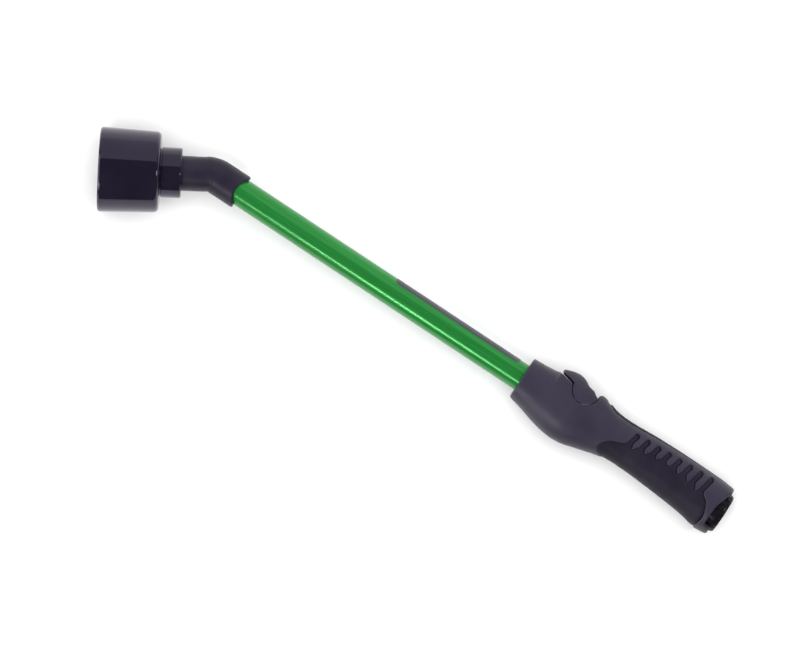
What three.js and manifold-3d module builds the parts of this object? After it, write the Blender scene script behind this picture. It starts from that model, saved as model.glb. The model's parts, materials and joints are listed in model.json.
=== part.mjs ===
// A hand-held watering wand: spray head on a bent elbow, aluminium tube, and a handle that
// holds a thumb-operated plunger valve and a swivelling hose nut. Millimetres.
//
// The wand is drawn in its own axes and then laid down on its side:
//   x runs along the tube towards the hose, from the handle's front face;
//   y points to the thumb lever's side; z is across the handle.

import * as THREE from "three";
import { mergeVertices } from "three/addons/utils/BufferGeometryUtils.js";
import Module from "manifold-3d";

const wasm = await Module();
wasm.setup();

// ---------------------------------------------------------------- driving dimensions

const GAP = 0.3; // clearance between neighbours
const ROUND = 32; // sides of a large round piece
const MIDDLE_ROUND = 24;
const SMALL_ROUND = 16; // sides of a small round piece

// Spray head, measured along its own axis from the bend point of the elbow
const BEND_X = -272.5;
const BEND_ANGLE = THREE.MathUtils.degToRad(30.5);
const HEAD_RIM_RADIUS = 31.75;
const HEAD_BACK_RADIUS = 30.1;
const HEAD_FRONT = 86.2;
const HEAD_BACK = 40.1;
const HEAD_WALL = 2.4;
const COLLAR_RADIUS = 18.75;
const COLLAR_START = 24.2;
const COLLAR_END = 38.2;
const THREAD_BORE = 13.6;
const WASHER_SEAT = 39.2;
const SPREADER_AT = 56.3;
const FACE_AT = 81.0;

// Elbow
const SLEEVE_END = -248.5;
const SLEEVE_RADIUS = 13.4;
const NECK_RADIUS = 13.0;
const SLEEVE_MOUTH_DEPTH = 4.6;
const BEND_RADIUS = 15.5;
const SPIGOT_END = 36.5;
const WATERWAY = 8.0;

// Tube and its label
const TUBE_RADIUS = 10.5;
const TUBE_WALL = 1.0;
const TUBE_FRONT = -267.5;
const TUBE_REAR = 23.5;
const LABEL_FROM = -117.0;
const LABEL_TO = -8.0;
const LABEL_HALF_ANGLE = THREE.MathUtils.degToRad(46);

// Handle: distance from the front, height above and below the tube axis, half width
const HANDLE_SECTIONS = [
  [0, 16.9, 16.9, 16.9],
  [10, 17.3, 19.2, 17.5],
  [20, 18.7, 22.0, 18.3],
  [25, 23.4, 23.3, 18.7],
  [31, 26.2, 24.6, 19.0],
  [38, 26.7, 25.6, 19.1],
  [47, 24.7, 25.5, 18.9],
  [57, 22.2, 23.3, 17.8],
  [62, 21.4, 21.9, 17.1],
  [67, 19.3, 20.5, 16.5],
  [74, 17.6, 18.6, 15.9],
  [84, 17.1, 16.5, 15.4],
  [100, 18.0, 16.3, 15.6],
  [120, 18.8, 17.4, 16.4],
  [142, 18.9, 19.1, 17.4],
  [157, 18.7, 21.0, 18.3],
  [166, 18.5, 22.8, 19.1],
  [172, 18.1, 22.5, 19.3],
  [176.8, 17.4, 21.7, 19.2],
];
const SECTION_POWER = 2.25; // 2 is an ellipse, more is squarer
const SECTION_POINTS = 20;
const HANDLE_WALL = 2.3;
const GRIP_WALL = 3.9; // wall under the soft zones
const GRIP_WALL_FROM = 70;
const GRIP_WALL_TO = 170;
const SOFT_RECESS = 0.6; // how far the soft zone lies below the lands around it
const SOFT_DEPTH = 1.6;
const STRIP_DEPTH = 1.5;

// Thumb lever: pivot, hub and travel
const PIVOT_X = 44.8;
const PIVOT_Y = 18.6;
const HUB_RADIUS = 10.6;
const POCKET_RADIUS = 11.1;
const LEVER_TRAVEL = THREE.MathUtils.degToRad(55);
const PIN_RADIUS = 1.0;
const LUG_FROM = 4.6; // the two lugs that carry the pin stand either side of the cam
const LUG_TO = 7.4;
const LUG_HALF = 3.2;
const LUG_EYE = 1.9;

// Valve: the stem stands across the water channel, under the lever's cam
const PLUNGER_LIFT = 3.0;
const STEM_RADIUS = 2.0;
const CHAMBER_RADIUS = 8.0;
const BARREL_RADIUS = 10.5;
const BARREL_TOP = 5.5;
const BARREL_BOTTOM = -16.8;
const SEAT_TOP = -3.8;
const SEAT_UNDERSIDE = -5.5;
const DISC_RADIUS = 6.8;
const CAP_BOTTOM = -19.0;
const SPRING_TURNS = 3;

// Hose inlet: it lies a little below the tube axis
const INLET_Y = -2.8;
const INLET_RADIUS = 8.0;
const INLET_BORE = 6.2;
const NUT_FROM = 163.3;
const NUT_TO = 180.3;
const NUT_RADIUS = 16.0;
const NUT_BORE = 13.2;
const NUT_RIB_DEPTH = 0.8;
const NUT_RIBS = 20;
const NUT_BACK_WALL = 2.3;

// ---------------------------------------------------------------- materials

const finish = (color, roughness, metalness = 0) =>
  new THREE.MeshStandardMaterial({ color, roughness, metalness });

const finishes = {
  glossyBlack: () => finish(0x17141c, 0.12),
  satinBlack: () => finish(0x2b2830, 0.5),
  softTouch: () => finish(0x35313c, 0.75),
  greenAnodised: () => finish(0x1c7a32, 0.3, 0.9),
  label: () => finish(0x3c3a44, 0.55),
  rubber: () => finish(0x101010, 0.85),
  nylon: () => finish(0xd8d6cf, 0.55),
  steel: () => finish(0xb8bcc2, 0.3, 1),
  brass: () => finish(0xb58a3c, 0.35, 1),
};

// ---------------------------------------------------------------- solids

// Signed volume of an indexed triangle mesh; negative when its faces point inwards.
function signedVolume(position, index) {
  const a = new THREE.Vector3();
  const b = new THREE.Vector3();
  const c = new THREE.Vector3();
  let volume = 0;
  for (let i = 0; i < index.length; i += 3) {
    a.fromArray(position, 3 * index[i]);
    b.fromArray(position, 3 * index[i + 1]);
    c.fromArray(position, 3 * index[i + 2]);
    volume += a.dot(b.cross(c)) / 6;
  }
  return volume;
}

// A closed geometry as a solid that can be cut and joined, with its faces turned outwards.
function solid(geometry) {
  const bare = geometry.clone();
  bare.deleteAttribute("normal");
  bare.deleteAttribute("uv");
  const merged = mergeVertices(bare, 1e-4);
  const triVerts = new Uint32Array(merged.index.array);
  const vertProperties = merged.attributes.position.array;
  if (signedVolume(vertProperties, triVerts) < 0) {
    for (let i = 0; i < triVerts.length; i += 3) {
      const keep = triVerts[i];
      triVerts[i] = triVerts[i + 1];
      triVerts[i + 1] = keep;
    }
  }
  return new wasm.Manifold(new wasm.Mesh({ numProp: 3, vertProperties, triVerts }));
}

function geometryOf(made) {
  const mesh = made.getMesh();
  const position = new Float32Array(mesh.numVert * 3);
  for (let i = 0; i < mesh.numVert; i++) {
    position.set(mesh.vertProperties.subarray(i * mesh.numProp, i * mesh.numProp + 3), i * 3);
  }
  const geometry = new THREE.BufferGeometry();
  geometry.setAttribute("position", new THREE.BufferAttribute(position, 3));
  geometry.setIndex(new THREE.BufferAttribute(mesh.triVerts, 1));
  geometry.computeVertexNormals();
  return geometry;
}

const join = (...solids) => solids.reduce((all, next) => all.add(next));
const cut = (body, ...tools) => tools.reduce((left, tool) => left.subtract(tool), body);

// A piece turned on a lathe. The profile is a list of [distance along the axis, radius];
// it starts and ends on the axis, or closes on itself. The axis is x.
function turned(profile, sides = ROUND) {
  const closed = profile[0][1] > 0 ? [...profile, profile[0]] : profile;
  const points = closed.map(([along, radius]) => new THREE.Vector2(radius, along));
  return new THREE.LatheGeometry(points, sides).rotateZ(-Math.PI / 2);
}

// The same, standing along y.
function turnedUpright(profile, sides = SMALL_ROUND) {
  return turned(profile, sides).rotateZ(Math.PI / 2);
}

// The same, lying across the handle along z.
function turnedAcross(profile, sides = SMALL_ROUND) {
  return turned(profile, sides).rotateY(-Math.PI / 2);
}

const rod = (from, to, radius) => [
  [from, 0],
  [from, radius],
  [to, radius],
  [to, 0],
];

const pipe = (from, to, inner, outer) => [
  [from, inner],
  [from, outer],
  [to, outer],
  [to, inner],
];

// A ring of round section, as a closed profile for turned().
function ringProfile(along, radius, section, sides = 6) {
  const profile = [];
  for (let i = 0; i < sides; i++) {
    const a = (-2 * Math.PI * i) / sides;
    profile.push([along + section * Math.cos(a), radius + section * Math.sin(a)]);
  }
  return profile;
}

// An outline in the xy plane, extruded across the handle between two z values.
function prism(outline, zFrom, zTo, curveSegments = 4) {
  const listed = Array.isArray(outline);
  const shape = listed ? new THREE.Shape(outline.map(([x, y]) => new THREE.Vector2(x, y))) : outline;
  const geometry = new THREE.ExtrudeGeometry(shape, {
    depth: zTo - zFrom,
    bevelEnabled: false,
    curveSegments,
  });
  return geometry.translate(0, 0, zFrom);
}

function block(xFrom, xTo, yFrom, yTo, zFrom, zTo) {
  const geometry = new THREE.BoxGeometry(xTo - xFrom, yTo - yFrom, zTo - zFrom);
  return geometry.translate((xFrom + xTo) / 2, (yFrom + yTo) / 2, (zFrom + zTo) / 2);
}

// A closed skin over rings of points, all with the same number of points, capped at both ends.
function loft(rings) {
  const count = rings[0].length;
  const position = rings.flatMap((ring) => ring.flatMap((p) => [p.x, p.y, p.z]));
  const index = [];
  for (let r = 0; r + 1 < rings.length; r++) {
    for (let i = 0; i < count; i++) {
      const a = r * count + i;
      const b = r * count + ((i + 1) % count);
      index.push(a, b, b + count, a, b + count, a + count);
    }
  }
  const last = (rings.length - 1) * count;
  for (let i = 1; i + 1 < count; i++) {
    index.push(0, i + 1, i);
    index.push(last, last + i, last + i + 1);
  }
  const geometry = new THREE.BufferGeometry();
  geometry.setAttribute("position", new THREE.Float32BufferAttribute(position, 3));
  geometry.setIndex(index);
  return geometry;
}

// ---------------------------------------------------------------- handle form

// One cross-section of the handle, shrunk inwards by inset.
function handleRing([x, top, bottom, half], inset) {
  const ring = [];
  for (let i = 0; i < SECTION_POINTS; i++) {
    const a = (2 * Math.PI * i) / SECTION_POINTS;
    const side = Math.sign(Math.cos(a)) * Math.abs(Math.cos(a)) ** (2 / SECTION_POWER);
    const rise = Math.sign(Math.sin(a)) * Math.abs(Math.sin(a)) ** (2 / SECTION_POWER);
    const height = rise > 0 ? top - inset : bottom - inset;
    ring.push(new THREE.Vector3(x, height * rise, (half - inset) * side));
  }
  return ring;
}

// The handle's outer form, shrunk inwards by inset.
function handleForm(inset) {
  return solid(loft(HANDLE_SECTIONS.map((section) => handleRing(section, inset))));
}

// The hollow inside the handle: thicker walls under the soft zones, open at the hose end.
function handleHollow() {
  const rings = HANDLE_SECTIONS.filter((section, i) => i % 2 === 0).map((section) => {
    const soft = section[0] > GRIP_WALL_FROM && section[0] < GRIP_WALL_TO;
    return handleRing(section, soft ? GRIP_WALL : HANDLE_WALL);
  });
  const frontWall = 3;
  const overrun = 5;
  for (const point of rings[0]) point.x = frontWall;
  rings.push(rings[rings.length - 1].map((point) => point.clone().setX(point.x + overrun)));
  return solid(loft(rings));
}

// Room for the thumb lever: the hub's round pocket and the space above the housing's edge.
// grow widens it, to leave a wall around it.
function leverRoom(grow) {
  const pocket = turnedAcross(rod(-30, 30, POCKET_RADIUS + grow), ROUND);
  pocket.translate(PIVOT_X, PIVOT_Y, 0);
  const rear = PIVOT_X + POCKET_RADIUS - 0.4 + grow;
  const above = [
    [20.5 - grow, 19.2 - grow],
    [23.9, 18.8 - grow],
    [27.7, 18.1 - grow],
    [31.1, 17.2 - grow],
    [34.0, 16.0 - grow],
    [PIVOT_X, PIVOT_Y - grow],
    [rear, PIVOT_Y - 3.5],
    [rear, 40],
    [20.5 - grow, 40],
  ];
  return join(solid(pocket), solid(prism(above, -30, 30)));
}

// The soft palm zone seen from the side: an arch at the front, fingers along the top,
// and a curved end in front of the hose nut.
function palmOutline(grow) {
  const shape = new THREE.Shape();
  shape.moveTo(82.0 - grow, -30);
  shape.lineTo(80.6 - grow, -17.6);
  shape.quadraticCurveTo(73.2 - grow, -14.2, 73.8 - grow, -11.0);
  shape.quadraticCurveTo(75.5 - grow, -4.0 + grow, 84.0, -1.4 + grow);
  const fingers = 8;
  const pitch = 9.05;
  const halfWidth = 2.1 + grow;
  for (let i = 0; i < fingers; i++) {
    const x = 94.8 + pitch * i;
    const t = i / (fingers - 1);
    const landing = 1.6 + 17.2 * t * (1 - t) + grow; // height of the zone's edge beside a finger
    const tip = 12.6 + 3.6 * t - 0.6 * t * t + grow;
    shape.lineTo(x - halfWidth, landing);
    shape.lineTo(x - halfWidth, tip - halfWidth);
    shape.absarc(x, tip - halfWidth, halfWidth, Math.PI, 0, true);
    shape.lineTo(x + halfWidth, landing);
  }
  shape.quadraticCurveTo(162.5 + grow, 0.5, 165.6 + grow, -6.0);
  shape.quadraticCurveTo(168.5 + grow, -14.0, 164.0 + grow, -19.5);
  shape.lineTo(161.0 + grow, -30);
  return shape;
}

// The back strip seen from above: it tapers from the lever to the hose end.
function stripOutline(grow) {
  const shape = new THREE.Shape();
  const frontX = 66.2 - grow;
  const rearX = 169 + grow;
  const frontHalf = 7.4 + grow;
  const rearHalf = 4.2 + grow;
  shape.moveTo(frontX, -frontHalf * 0.45);
  shape.quadraticCurveTo(frontX + 1, -frontHalf, frontX + 7, -frontHalf);
  shape.lineTo(rearX - 5, -rearHalf);
  shape.quadraticCurveTo(rearX, -rearHalf, rearX, 0);
  shape.quadraticCurveTo(rearX, rearHalf, rearX - 5, rearHalf);
  shape.lineTo(frontX + 7, frontHalf);
  shape.quadraticCurveTo(frontX + 1, frontHalf, frontX, frontHalf * 0.45);
  return shape;
}

// The strip's plan as an upright prism over the handle's back.
function stripPrism(grow) {
  return solid(prism(stripOutline(grow), 5, 40).rotateX(-Math.PI / 2));
}

// What is cut away above the round knob behind the lever.
function aboveKnob() {
  const outline = [
    [50, 40],
    [50, 17.9],
    [54.9, 18.3],
    [55.6, 19.4],
    [56.5, 20.6],
    [57.9, 21.6],
    [59.4, 21.9],
    [61.3, 21.3],
    [63.6, 19.9],
    [65.4, 19.2],
    [67.0, 19.8],
    [67.0, 40],
  ];
  return solid(prism(outline, -30, 30));
}

// Scoops in both sides of the handle's end, through which the hose nut is turned.
function scoops() {
  const outline = [
    [190, 13.0],
    [174.4, 13.0],
    [173.6, 8.5],
    [171.8, 3.0],
    [170.8, -2.0],
    [170.7, -8.0],
    [171.2, -13.0],
    [171.5, -18.4],
    [190, -18.4],
  ];
  return join(solid(prism(outline, 7, 30)), solid(prism(outline, -30, -7)));
}

function handleShell() {
  const outer = handleForm(0);
  const softPocket = cut(solid(prism(palmOutline(GAP), -30, 30, 3)), handleForm(SOFT_DEPTH + GAP));
  const stripPocket = cut(stripPrism(GAP), handleForm(STRIP_DEPTH + GAP));
  const hollow = cut(handleHollow(), leverRoom(2.0));
  const nutSpace = turned(rod(NUT_FROM - 3.2, 190, NUT_RADIUS + 0.5), MIDDLE_ROUND);
  const nutRoom = solid(nutSpace.translate(0, INLET_Y, 0));
  const tubeHole = solid(turned(rod(-5, 8, TUBE_RADIUS + 0.5), MIDDLE_ROUND));
  const stemWindow = solid(block(PIVOT_X - 5.2, PIVOT_X + 5.2, 3, 13, -8.4, 8.4));
  const tools = [softPocket, stripPocket, hollow, leverRoom(0), aboveKnob(), nutRoom, tubeHole, stemWindow];
  return cut(outer, ...tools, scoops());
}

// ---------------------------------------------------------------- head

function headBody() {
  const inner = HEAD_RIM_RADIUS - HEAD_WALL;
  const backInner = HEAD_BACK_RADIUS - HEAD_WALL - 0.4;
  return turned([
    [COLLAR_START, THREAD_BORE],
    [COLLAR_START, COLLAR_RADIUS - 1.2],
    [COLLAR_START + 1.2, COLLAR_RADIUS],
    [COLLAR_END - 1.0, COLLAR_RADIUS],
    [COLLAR_END, COLLAR_RADIUS - 0.9],
    [HEAD_BACK, COLLAR_RADIUS - 0.9],
    [HEAD_BACK, HEAD_BACK_RADIUS - 3.6],
    [HEAD_BACK + 1.1, HEAD_BACK_RADIUS - 1.1],
    [HEAD_BACK + 3.7, HEAD_BACK_RADIUS],
    [HEAD_FRONT - 1.4, HEAD_RIM_RADIUS],
    [HEAD_FRONT - 0.2, HEAD_RIM_RADIUS - 0.6],
    [HEAD_FRONT, HEAD_RIM_RADIUS - 1.2],
    [HEAD_FRONT - 1.0, inner],
    [SPREADER_AT - GAP, inner],
    [SPREADER_AT - GAP, backInner],
    [HEAD_BACK + 6, backInner],
    [HEAD_BACK + 2.6, 9],
    [WASHER_SEAT, 9],
    [WASHER_SEAT, THREAD_BORE],
  ]);
}

function sprayFace() {
  const rim = HEAD_RIM_RADIUS - HEAD_WALL - GAP;
  const skirtStart = SPREADER_AT + 2.3;
  return turned([
    [FACE_AT, 0],
    [FACE_AT - 0.6, 12],
    [FACE_AT - 1.6, 22],
    [FACE_AT - 2.2, rim - 1.7],
    [skirtStart, rim - 1.7],
    [skirtStart, rim],
    [FACE_AT + 1.2, rim],
    [FACE_AT + 2.2, rim - 1.0],
    [FACE_AT + 1.9, 22],
    [FACE_AT + 2.6, 12],
    [FACE_AT + 3.0, 0],
  ]);
}

function flowSpreader() {
  const edge = [];
  for (let i = 0; i < ROUND; i++) {
    const a = (2 * Math.PI * i) / ROUND;
    const r = HEAD_RIM_RADIUS - HEAD_WALL - GAP;
    edge.push(new THREE.Vector2(r * Math.cos(a), r * Math.sin(a)));
  }
  const disc = new THREE.Shape(edge);
  const rings = [
    [4, 9],
    [8, 20],
  ];
  for (const [count, radius] of rings) {
    for (let i = 0; i < count; i++) {
      const a = (2 * Math.PI * i) / count;
      const hole = new THREE.Path();
      hole.absarc(radius * Math.cos(a), radius * Math.sin(a), 1.8, 0, 2 * Math.PI);
      disc.holes.push(hole);
    }
  }
  const plate = new THREE.ExtrudeGeometry(disc, { depth: 2, bevelEnabled: false, curveSegments: 4 });
  return plate.rotateY(Math.PI / 2).translate(SPREADER_AT, 0, 0);
}

// ---------------------------------------------------------------- elbow

// A ring around the elbow's centre line: turn is how far round the bend it stands.
function elbowRing(centre, turn, radius) {
  const ring = [];
  const sides = MIDDLE_ROUND;
  for (let i = 0; i < sides; i++) {
    const a = (2 * Math.PI * i) / sides;
    const point = new THREE.Vector3(0, radius * Math.cos(a), radius * Math.sin(a));
    point.applyAxisAngle(new THREE.Vector3(0, 0, 1), turn);
    ring.push(point.add(centre));
  }
  return ring;
}

function elbow() {
  const tangent = BEND_RADIUS * Math.tan(BEND_ANGLE / 2);
  const bendStart = BEND_X + tangent;
  const outerRings = [
    elbowRing(new THREE.Vector3(SLEEVE_END, 0, 0), 0, SLEEVE_RADIUS - 0.9),
    elbowRing(new THREE.Vector3(SLEEVE_END - 0.9, 0, 0), 0, SLEEVE_RADIUS),
  ];
  const steps = 5;
  for (let i = 0; i <= steps; i++) {
    const turn = (BEND_ANGLE * i) / steps;
    const x = bendStart - BEND_RADIUS * Math.sin(turn);
    const y = -BEND_RADIUS * (1 - Math.cos(turn));
    outerRings.push(elbowRing(new THREE.Vector3(x, y, 0), turn, SLEEVE_RADIUS));
  }
  const alongNeck = (distance) =>
    new THREE.Vector3(BEND_X - distance * Math.cos(BEND_ANGLE), -distance * Math.sin(BEND_ANGLE), 0);
  outerRings.push(elbowRing(alongNeck(tangent + 0.3), BEND_ANGLE, NECK_RADIUS));
  outerRings.push(elbowRing(alongNeck(SPIGOT_END), BEND_ANGLE, NECK_RADIUS));
  const outer = solid(loft(outerRings));

  const toHead = new THREE.Matrix4().makeRotationZ(Math.PI + BEND_ANGLE).setPosition(BEND_X, 0, 0);
  const neckBore = solid(turned(rod(0, SPIGOT_END + 5, WATERWAY), SMALL_ROUND).applyMatrix4(toHead));
  const bendBore = solid(new THREE.SphereGeometry(WATERWAY, 12, 8).translate(BEND_X, 0, 0));
  const tubeBore = solid(
    turned([
      [BEND_X, 0],
      [BEND_X, WATERWAY],
      [TUBE_FRONT - 0.5, WATERWAY],
      [TUBE_FRONT - 0.5, TUBE_RADIUS + GAP],
      [-261.6, TUBE_RADIUS + GAP],
      [-261.6, 12.3],
      [-258.8, 12.3],
      [-258.8, TUBE_RADIUS + GAP],
      [SLEEVE_END + 5, TUBE_RADIUS + GAP],
      [SLEEVE_END + 5, 0],
    ], MIDDLE_ROUND),
  );

  // The sleeve's mouth curves back on both sides.
  const mouth = new THREE.Shape();
  mouth.moveTo(SLEEVE_END + 5, 14);
  mouth.lineTo(SLEEVE_END + 0.1, 13);
  mouth.quadraticCurveTo(SLEEVE_END - 2 * SLEEVE_MOUTH_DEPTH, 0, SLEEVE_END + 0.1, -13);
  mouth.lineTo(SLEEVE_END + 5, -14);
  return geometryOf(cut(outer, neckBore, bendBore, tubeBore, solid(prism(mouth, -20, 20))));
}

// ---------------------------------------------------------------- tube label

function tubeLabel() {
  const inner = TUBE_RADIUS + 0.12;
  const outer = inner + 0.25;
  const from = Math.PI / 2 - LABEL_HALF_ANGLE;
  const to = Math.PI / 2 + LABEL_HALF_ANGLE;
  const band = new THREE.Shape();
  band.absarc(0, 0, outer, from, to, false);
  band.absarc(0, 0, inner, to, from, true);
  const length = LABEL_TO - LABEL_FROM;
  const skin = new THREE.ExtrudeGeometry(band, { depth: length, bevelEnabled: false, curveSegments: 8 });
  return skin.rotateY(Math.PI / 2).translate(LABEL_FROM, 0, 0);
}

// ---------------------------------------------------------------- thumb lever

// Radius of the cam, by the angle round the pivot. It falls evenly, so the plunger's lift
// stays in step with the lever.
function camRadius(angle) {
  const start = -Math.PI / 2;
  const done = THREE.MathUtils.clamp((angle - start) / LEVER_TRAVEL, 0, 1);
  return HUB_RADIUS - PLUNGER_LIFT * done;
}

// What is cut away outside the cam, between the two lugs.
function camRelief() {
  const outline = [];
  const from = -Math.PI / 2;
  const to = -0.12;
  const steps = 16;
  for (let i = 0; i <= steps; i++) {
    const a = from + ((to - from) * i) / steps;
    const r = camRadius(a);
    outline.push([PIVOT_X + r * Math.cos(a), PIVOT_Y + r * Math.sin(a)]);
  }
  outline.push([PIVOT_X + 14, PIVOT_Y - 1.5], [PIVOT_X + 14, PIVOT_Y - 14], [PIVOT_X, PIVOT_Y - 14]);
  return solid(prism(outline, -LUG_FROM + GAP, LUG_FROM - GAP));
}

// One lug seen from the side: it narrows upwards to a round eye for the pin.
function lugOutline(grow) {
  const outline = [
    [PIVOT_X - LUG_HALF - grow, BARREL_TOP - 2 - grow],
    [PIVOT_X + LUG_HALF + grow, BARREL_TOP - 2 - grow],
  ];
  const steps = 8;
  for (let i = 0; i <= steps; i++) {
    const a = (Math.PI * i) / steps;
    outline.push([PIVOT_X + (LUG_EYE + grow) * Math.cos(a), PIVOT_Y + (LUG_EYE + grow) * Math.sin(a)]);
  }
  return outline;
}

// The slot in the hub that lets it turn past one lug: the lug's outline swept by the travel.
function lugSlot(side) {
  const grow = 0.35;
  const inner = LUG_FROM - GAP;
  const outer = LUG_TO + GAP;
  const steps = 5;
  const lugs = [];
  for (let i = 0; i <= steps; i++) {
    const lug = prism(lugOutline(grow), inner, outer);
    lug.translate(-PIVOT_X, -PIVOT_Y, 0).rotateZ((LEVER_TRAVEL * i) / steps);
    lugs.push(solid(lug.translate(PIVOT_X, PIVOT_Y, 0)));
  }
  const slot = join(...lugs);
  return side > 0 ? slot : slot.mirror([0, 0, 1]);
}

function thumbLever() {
  const side = new THREE.Shape();
  side.moveTo(23.6, 19.9);
  side.lineTo(23.9, 22.2);
  side.quadraticCurveTo(29.0, 24.4, 33.4, 26.0);
  side.quadraticCurveTo(37.5, 26.4, 42.0, 23.8);
  side.quadraticCurveTo(44.6, 21.1, 49.4, 20.6);
  side.quadraticCurveTo(52.6, 19.2, 54.6, 18.0);
  side.absarc(PIVOT_X, PIVOT_Y, HUB_RADIUS, -0.08, -Math.PI + 0.1, true);
  side.lineTo(28.5, 19.5);
  // a web under the middle of the tab closes the gap to the housing
  const webSide = [[24.1, 21], [24.1, 19.3], [27.7, 18.5], [31.1, 17.7], [35, 16.8], [38, 21]];
  const web = solid(prism(webSide, -8.8, 8.8));
  const blank = join(solid(prism(side, -30, 30)), web).intersect(handleForm(0));
  const pinHole = turnedAcross(rod(-30, 12.4, PIN_RADIUS + GAP)).translate(PIVOT_X, PIVOT_Y, 0);
  return geometryOf(cut(blank, camRelief(), lugSlot(1), lugSlot(-1), solid(pinHole)));
}

function leverPin() {
  return turnedAcross(rod(-12.6, 12, PIN_RADIUS)).translate(PIVOT_X, PIVOT_Y, 0);
}

// ---------------------------------------------------------------- valve

function valveBody() {
  const barrel = turnedUpright(rod(BARREL_BOTTOM, BARREL_TOP, BARREL_RADIUS)).translate(PIVOT_X, 0, 0);
  const tubeSocket = turned([
    [4, 0],
    [4, 13.4],
    [27, 13.4],
    [33, 7],
    [PIVOT_X, 5],
    [PIVOT_X, 0],
  ], MIDDLE_ROUND);
  const inletSocket = turned(rod(PIVOT_X + 8, 74, 10.6), SMALL_ROUND).translate(0, INLET_Y, 0);
  const slope = new THREE.Matrix4().makeRotationZ(THREE.MathUtils.degToRad(35));
  slope.setPosition(PIVOT_X + 5.5, -11, 0);
  const sump = turned(rod(0, 15, 5.6), 12).applyMatrix4(slope);
  const outer = join(
    solid(barrel),
    solid(tubeSocket),
    solid(inletSocket),
    solid(sump),
    solid(prism(lugOutline(0), LUG_FROM, LUG_TO)),
    solid(prism(lugOutline(0), -LUG_TO, -LUG_FROM)),
  );

  const chambers = turnedUpright([
    [BARREL_BOTTOM - 1, 0],
    [BARREL_BOTTOM - 1, CHAMBER_RADIUS],
    [SEAT_UNDERSIDE, CHAMBER_RADIUS],
    [SEAT_UNDERSIDE, 4.6],
    [SEAT_TOP, 4.6],
    [SEAT_TOP, 6.4],
    [2.4, 6.4],
    [2.4, STEM_RADIUS + GAP],
    [3.2, STEM_RADIUS + GAP],
    [3.2, 3.8],
    [4.9, 3.8],
    [4.9, STEM_RADIUS + GAP],
    [BARREL_TOP + 1, STEM_RADIUS + GAP],
    [BARREL_TOP + 1, 0],
  ]).translate(PIVOT_X, 0, 0);
  const tubeBore = turned([
    [3, 0],
    [3, TUBE_RADIUS + GAP],
    [13.6, TUBE_RADIUS + GAP],
    [13.6, 12.3],
    [16.4, 12.3],
    [16.4, TUBE_RADIUS + GAP],
    [TUBE_REAR + 0.5, TUBE_RADIUS + GAP],
    [TUBE_REAR + 0.5, 9],
    [31, 3.4],
    [31, 0],
  ], MIDDLE_ROUND);
  const outlet = turned(rod(30, PIVOT_X, 3.0), 12).translate(0, -0.6, 0);
  const inletBore = turned([
    [62, 0],
    [62, INLET_RADIUS + GAP],
    [66, INLET_RADIUS + GAP],
    [66, 9.6],
    [68.6, 9.6],
    [68.6, INLET_RADIUS + GAP],
    [75, INLET_RADIUS + GAP],
    [75, 0],
  ], SMALL_ROUND).translate(0, INLET_Y, 0);
  const inletWay = turned(rod(0, 17, 3.1), 12).applyMatrix4(slope);
  const pinHole = turnedAcross(rod(-30, 30, PIN_RADIUS + GAP)).translate(PIVOT_X, PIVOT_Y, 0);
  const tools = [chambers, tubeBore, outlet, inletBore, inletWay, pinHole];
  return geometryOf(cut(outer, ...tools.map(solid)));
}

function valvePlunger() {
  const tip = PIVOT_Y - HUB_RADIUS - 0.35;
  const profile = [
    [-13.6, 0],
    [-13.6, 2.6],
    [-11.9, 2.6],
    [-11.9, DISC_RADIUS],
    [-10.5, DISC_RADIUS],
    [-10.5, STEM_RADIUS],
  ];
  const steps = 4;
  for (let i = 0; i <= steps; i++) {
    const a = (Math.PI / 2) * (i / steps);
    profile.push([tip - STEM_RADIUS + STEM_RADIUS * Math.sin(a), STEM_RADIUS * Math.cos(a)]);
  }
  profile[profile.length - 1][1] = 0;
  return turnedUpright(profile).translate(PIVOT_X, 0, 0);
}

function valveSeal() {
  return turnedUpright(pipe(-10.2, -8.8, STEM_RADIUS + GAP, DISC_RADIUS - 0.2)).translate(PIVOT_X, 0, 0);
}

function valveSpring() {
  class Coil extends THREE.Curve {
    getPoint(t) {
      const a = 2 * Math.PI * SPRING_TURNS * t;
      return new THREE.Vector3(4.4 * Math.cos(a), -16.6 + 3.9 * t, 4.4 * Math.sin(a));
    }
  }
  const wire = new THREE.Shape();
  wire.absarc(0, 0, 0.42, 0, 2 * Math.PI);
  const coil = new THREE.ExtrudeGeometry(wire, {
    extrudePath: new Coil(),
    steps: 10 * SPRING_TURNS,
    bevelEnabled: false,
    curveSegments: 3,
  });
  return coil.translate(PIVOT_X, 0, 0);
}

function valveCap() {
  const skirt = CHAMBER_RADIUS - GAP;
  return turnedUpright([
    [CAP_BOTTOM, 0],
    [CAP_BOTTOM, 9.4],
    [CAP_BOTTOM + 0.7, 10.2],
    [BARREL_BOTTOM - GAP, 10.2],
    [BARREL_BOTTOM - GAP, skirt],
    [-16.4, skirt],
    [-16.4, skirt - 1.1],
    [-14.9, skirt - 1.1],
    [-14.9, skirt],
    [-14.3, skirt],
    [-14.3, 5.5],
    [BARREL_BOTTOM - GAP, 5.5],
    [BARREL_BOTTOM - GAP, 0],
  ]).translate(PIVOT_X, 0, 0);
}

// ---------------------------------------------------------------- hose inlet

function inletTube() {
  return turned([
    [62.5, INLET_BORE],
    [62.5, INLET_RADIUS],
    [NUT_FROM + NUT_BACK_WALL + GAP, INLET_RADIUS],
    [NUT_FROM + NUT_BACK_WALL + GAP, NUT_BORE - 0.5],
    [NUT_FROM + NUT_BACK_WALL + 2.4, NUT_BORE - 0.5],
    [NUT_FROM + NUT_BACK_WALL + 2.4, INLET_BORE],
  ], MIDDLE_ROUND).translate(0, INLET_Y, 0);
}

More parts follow.
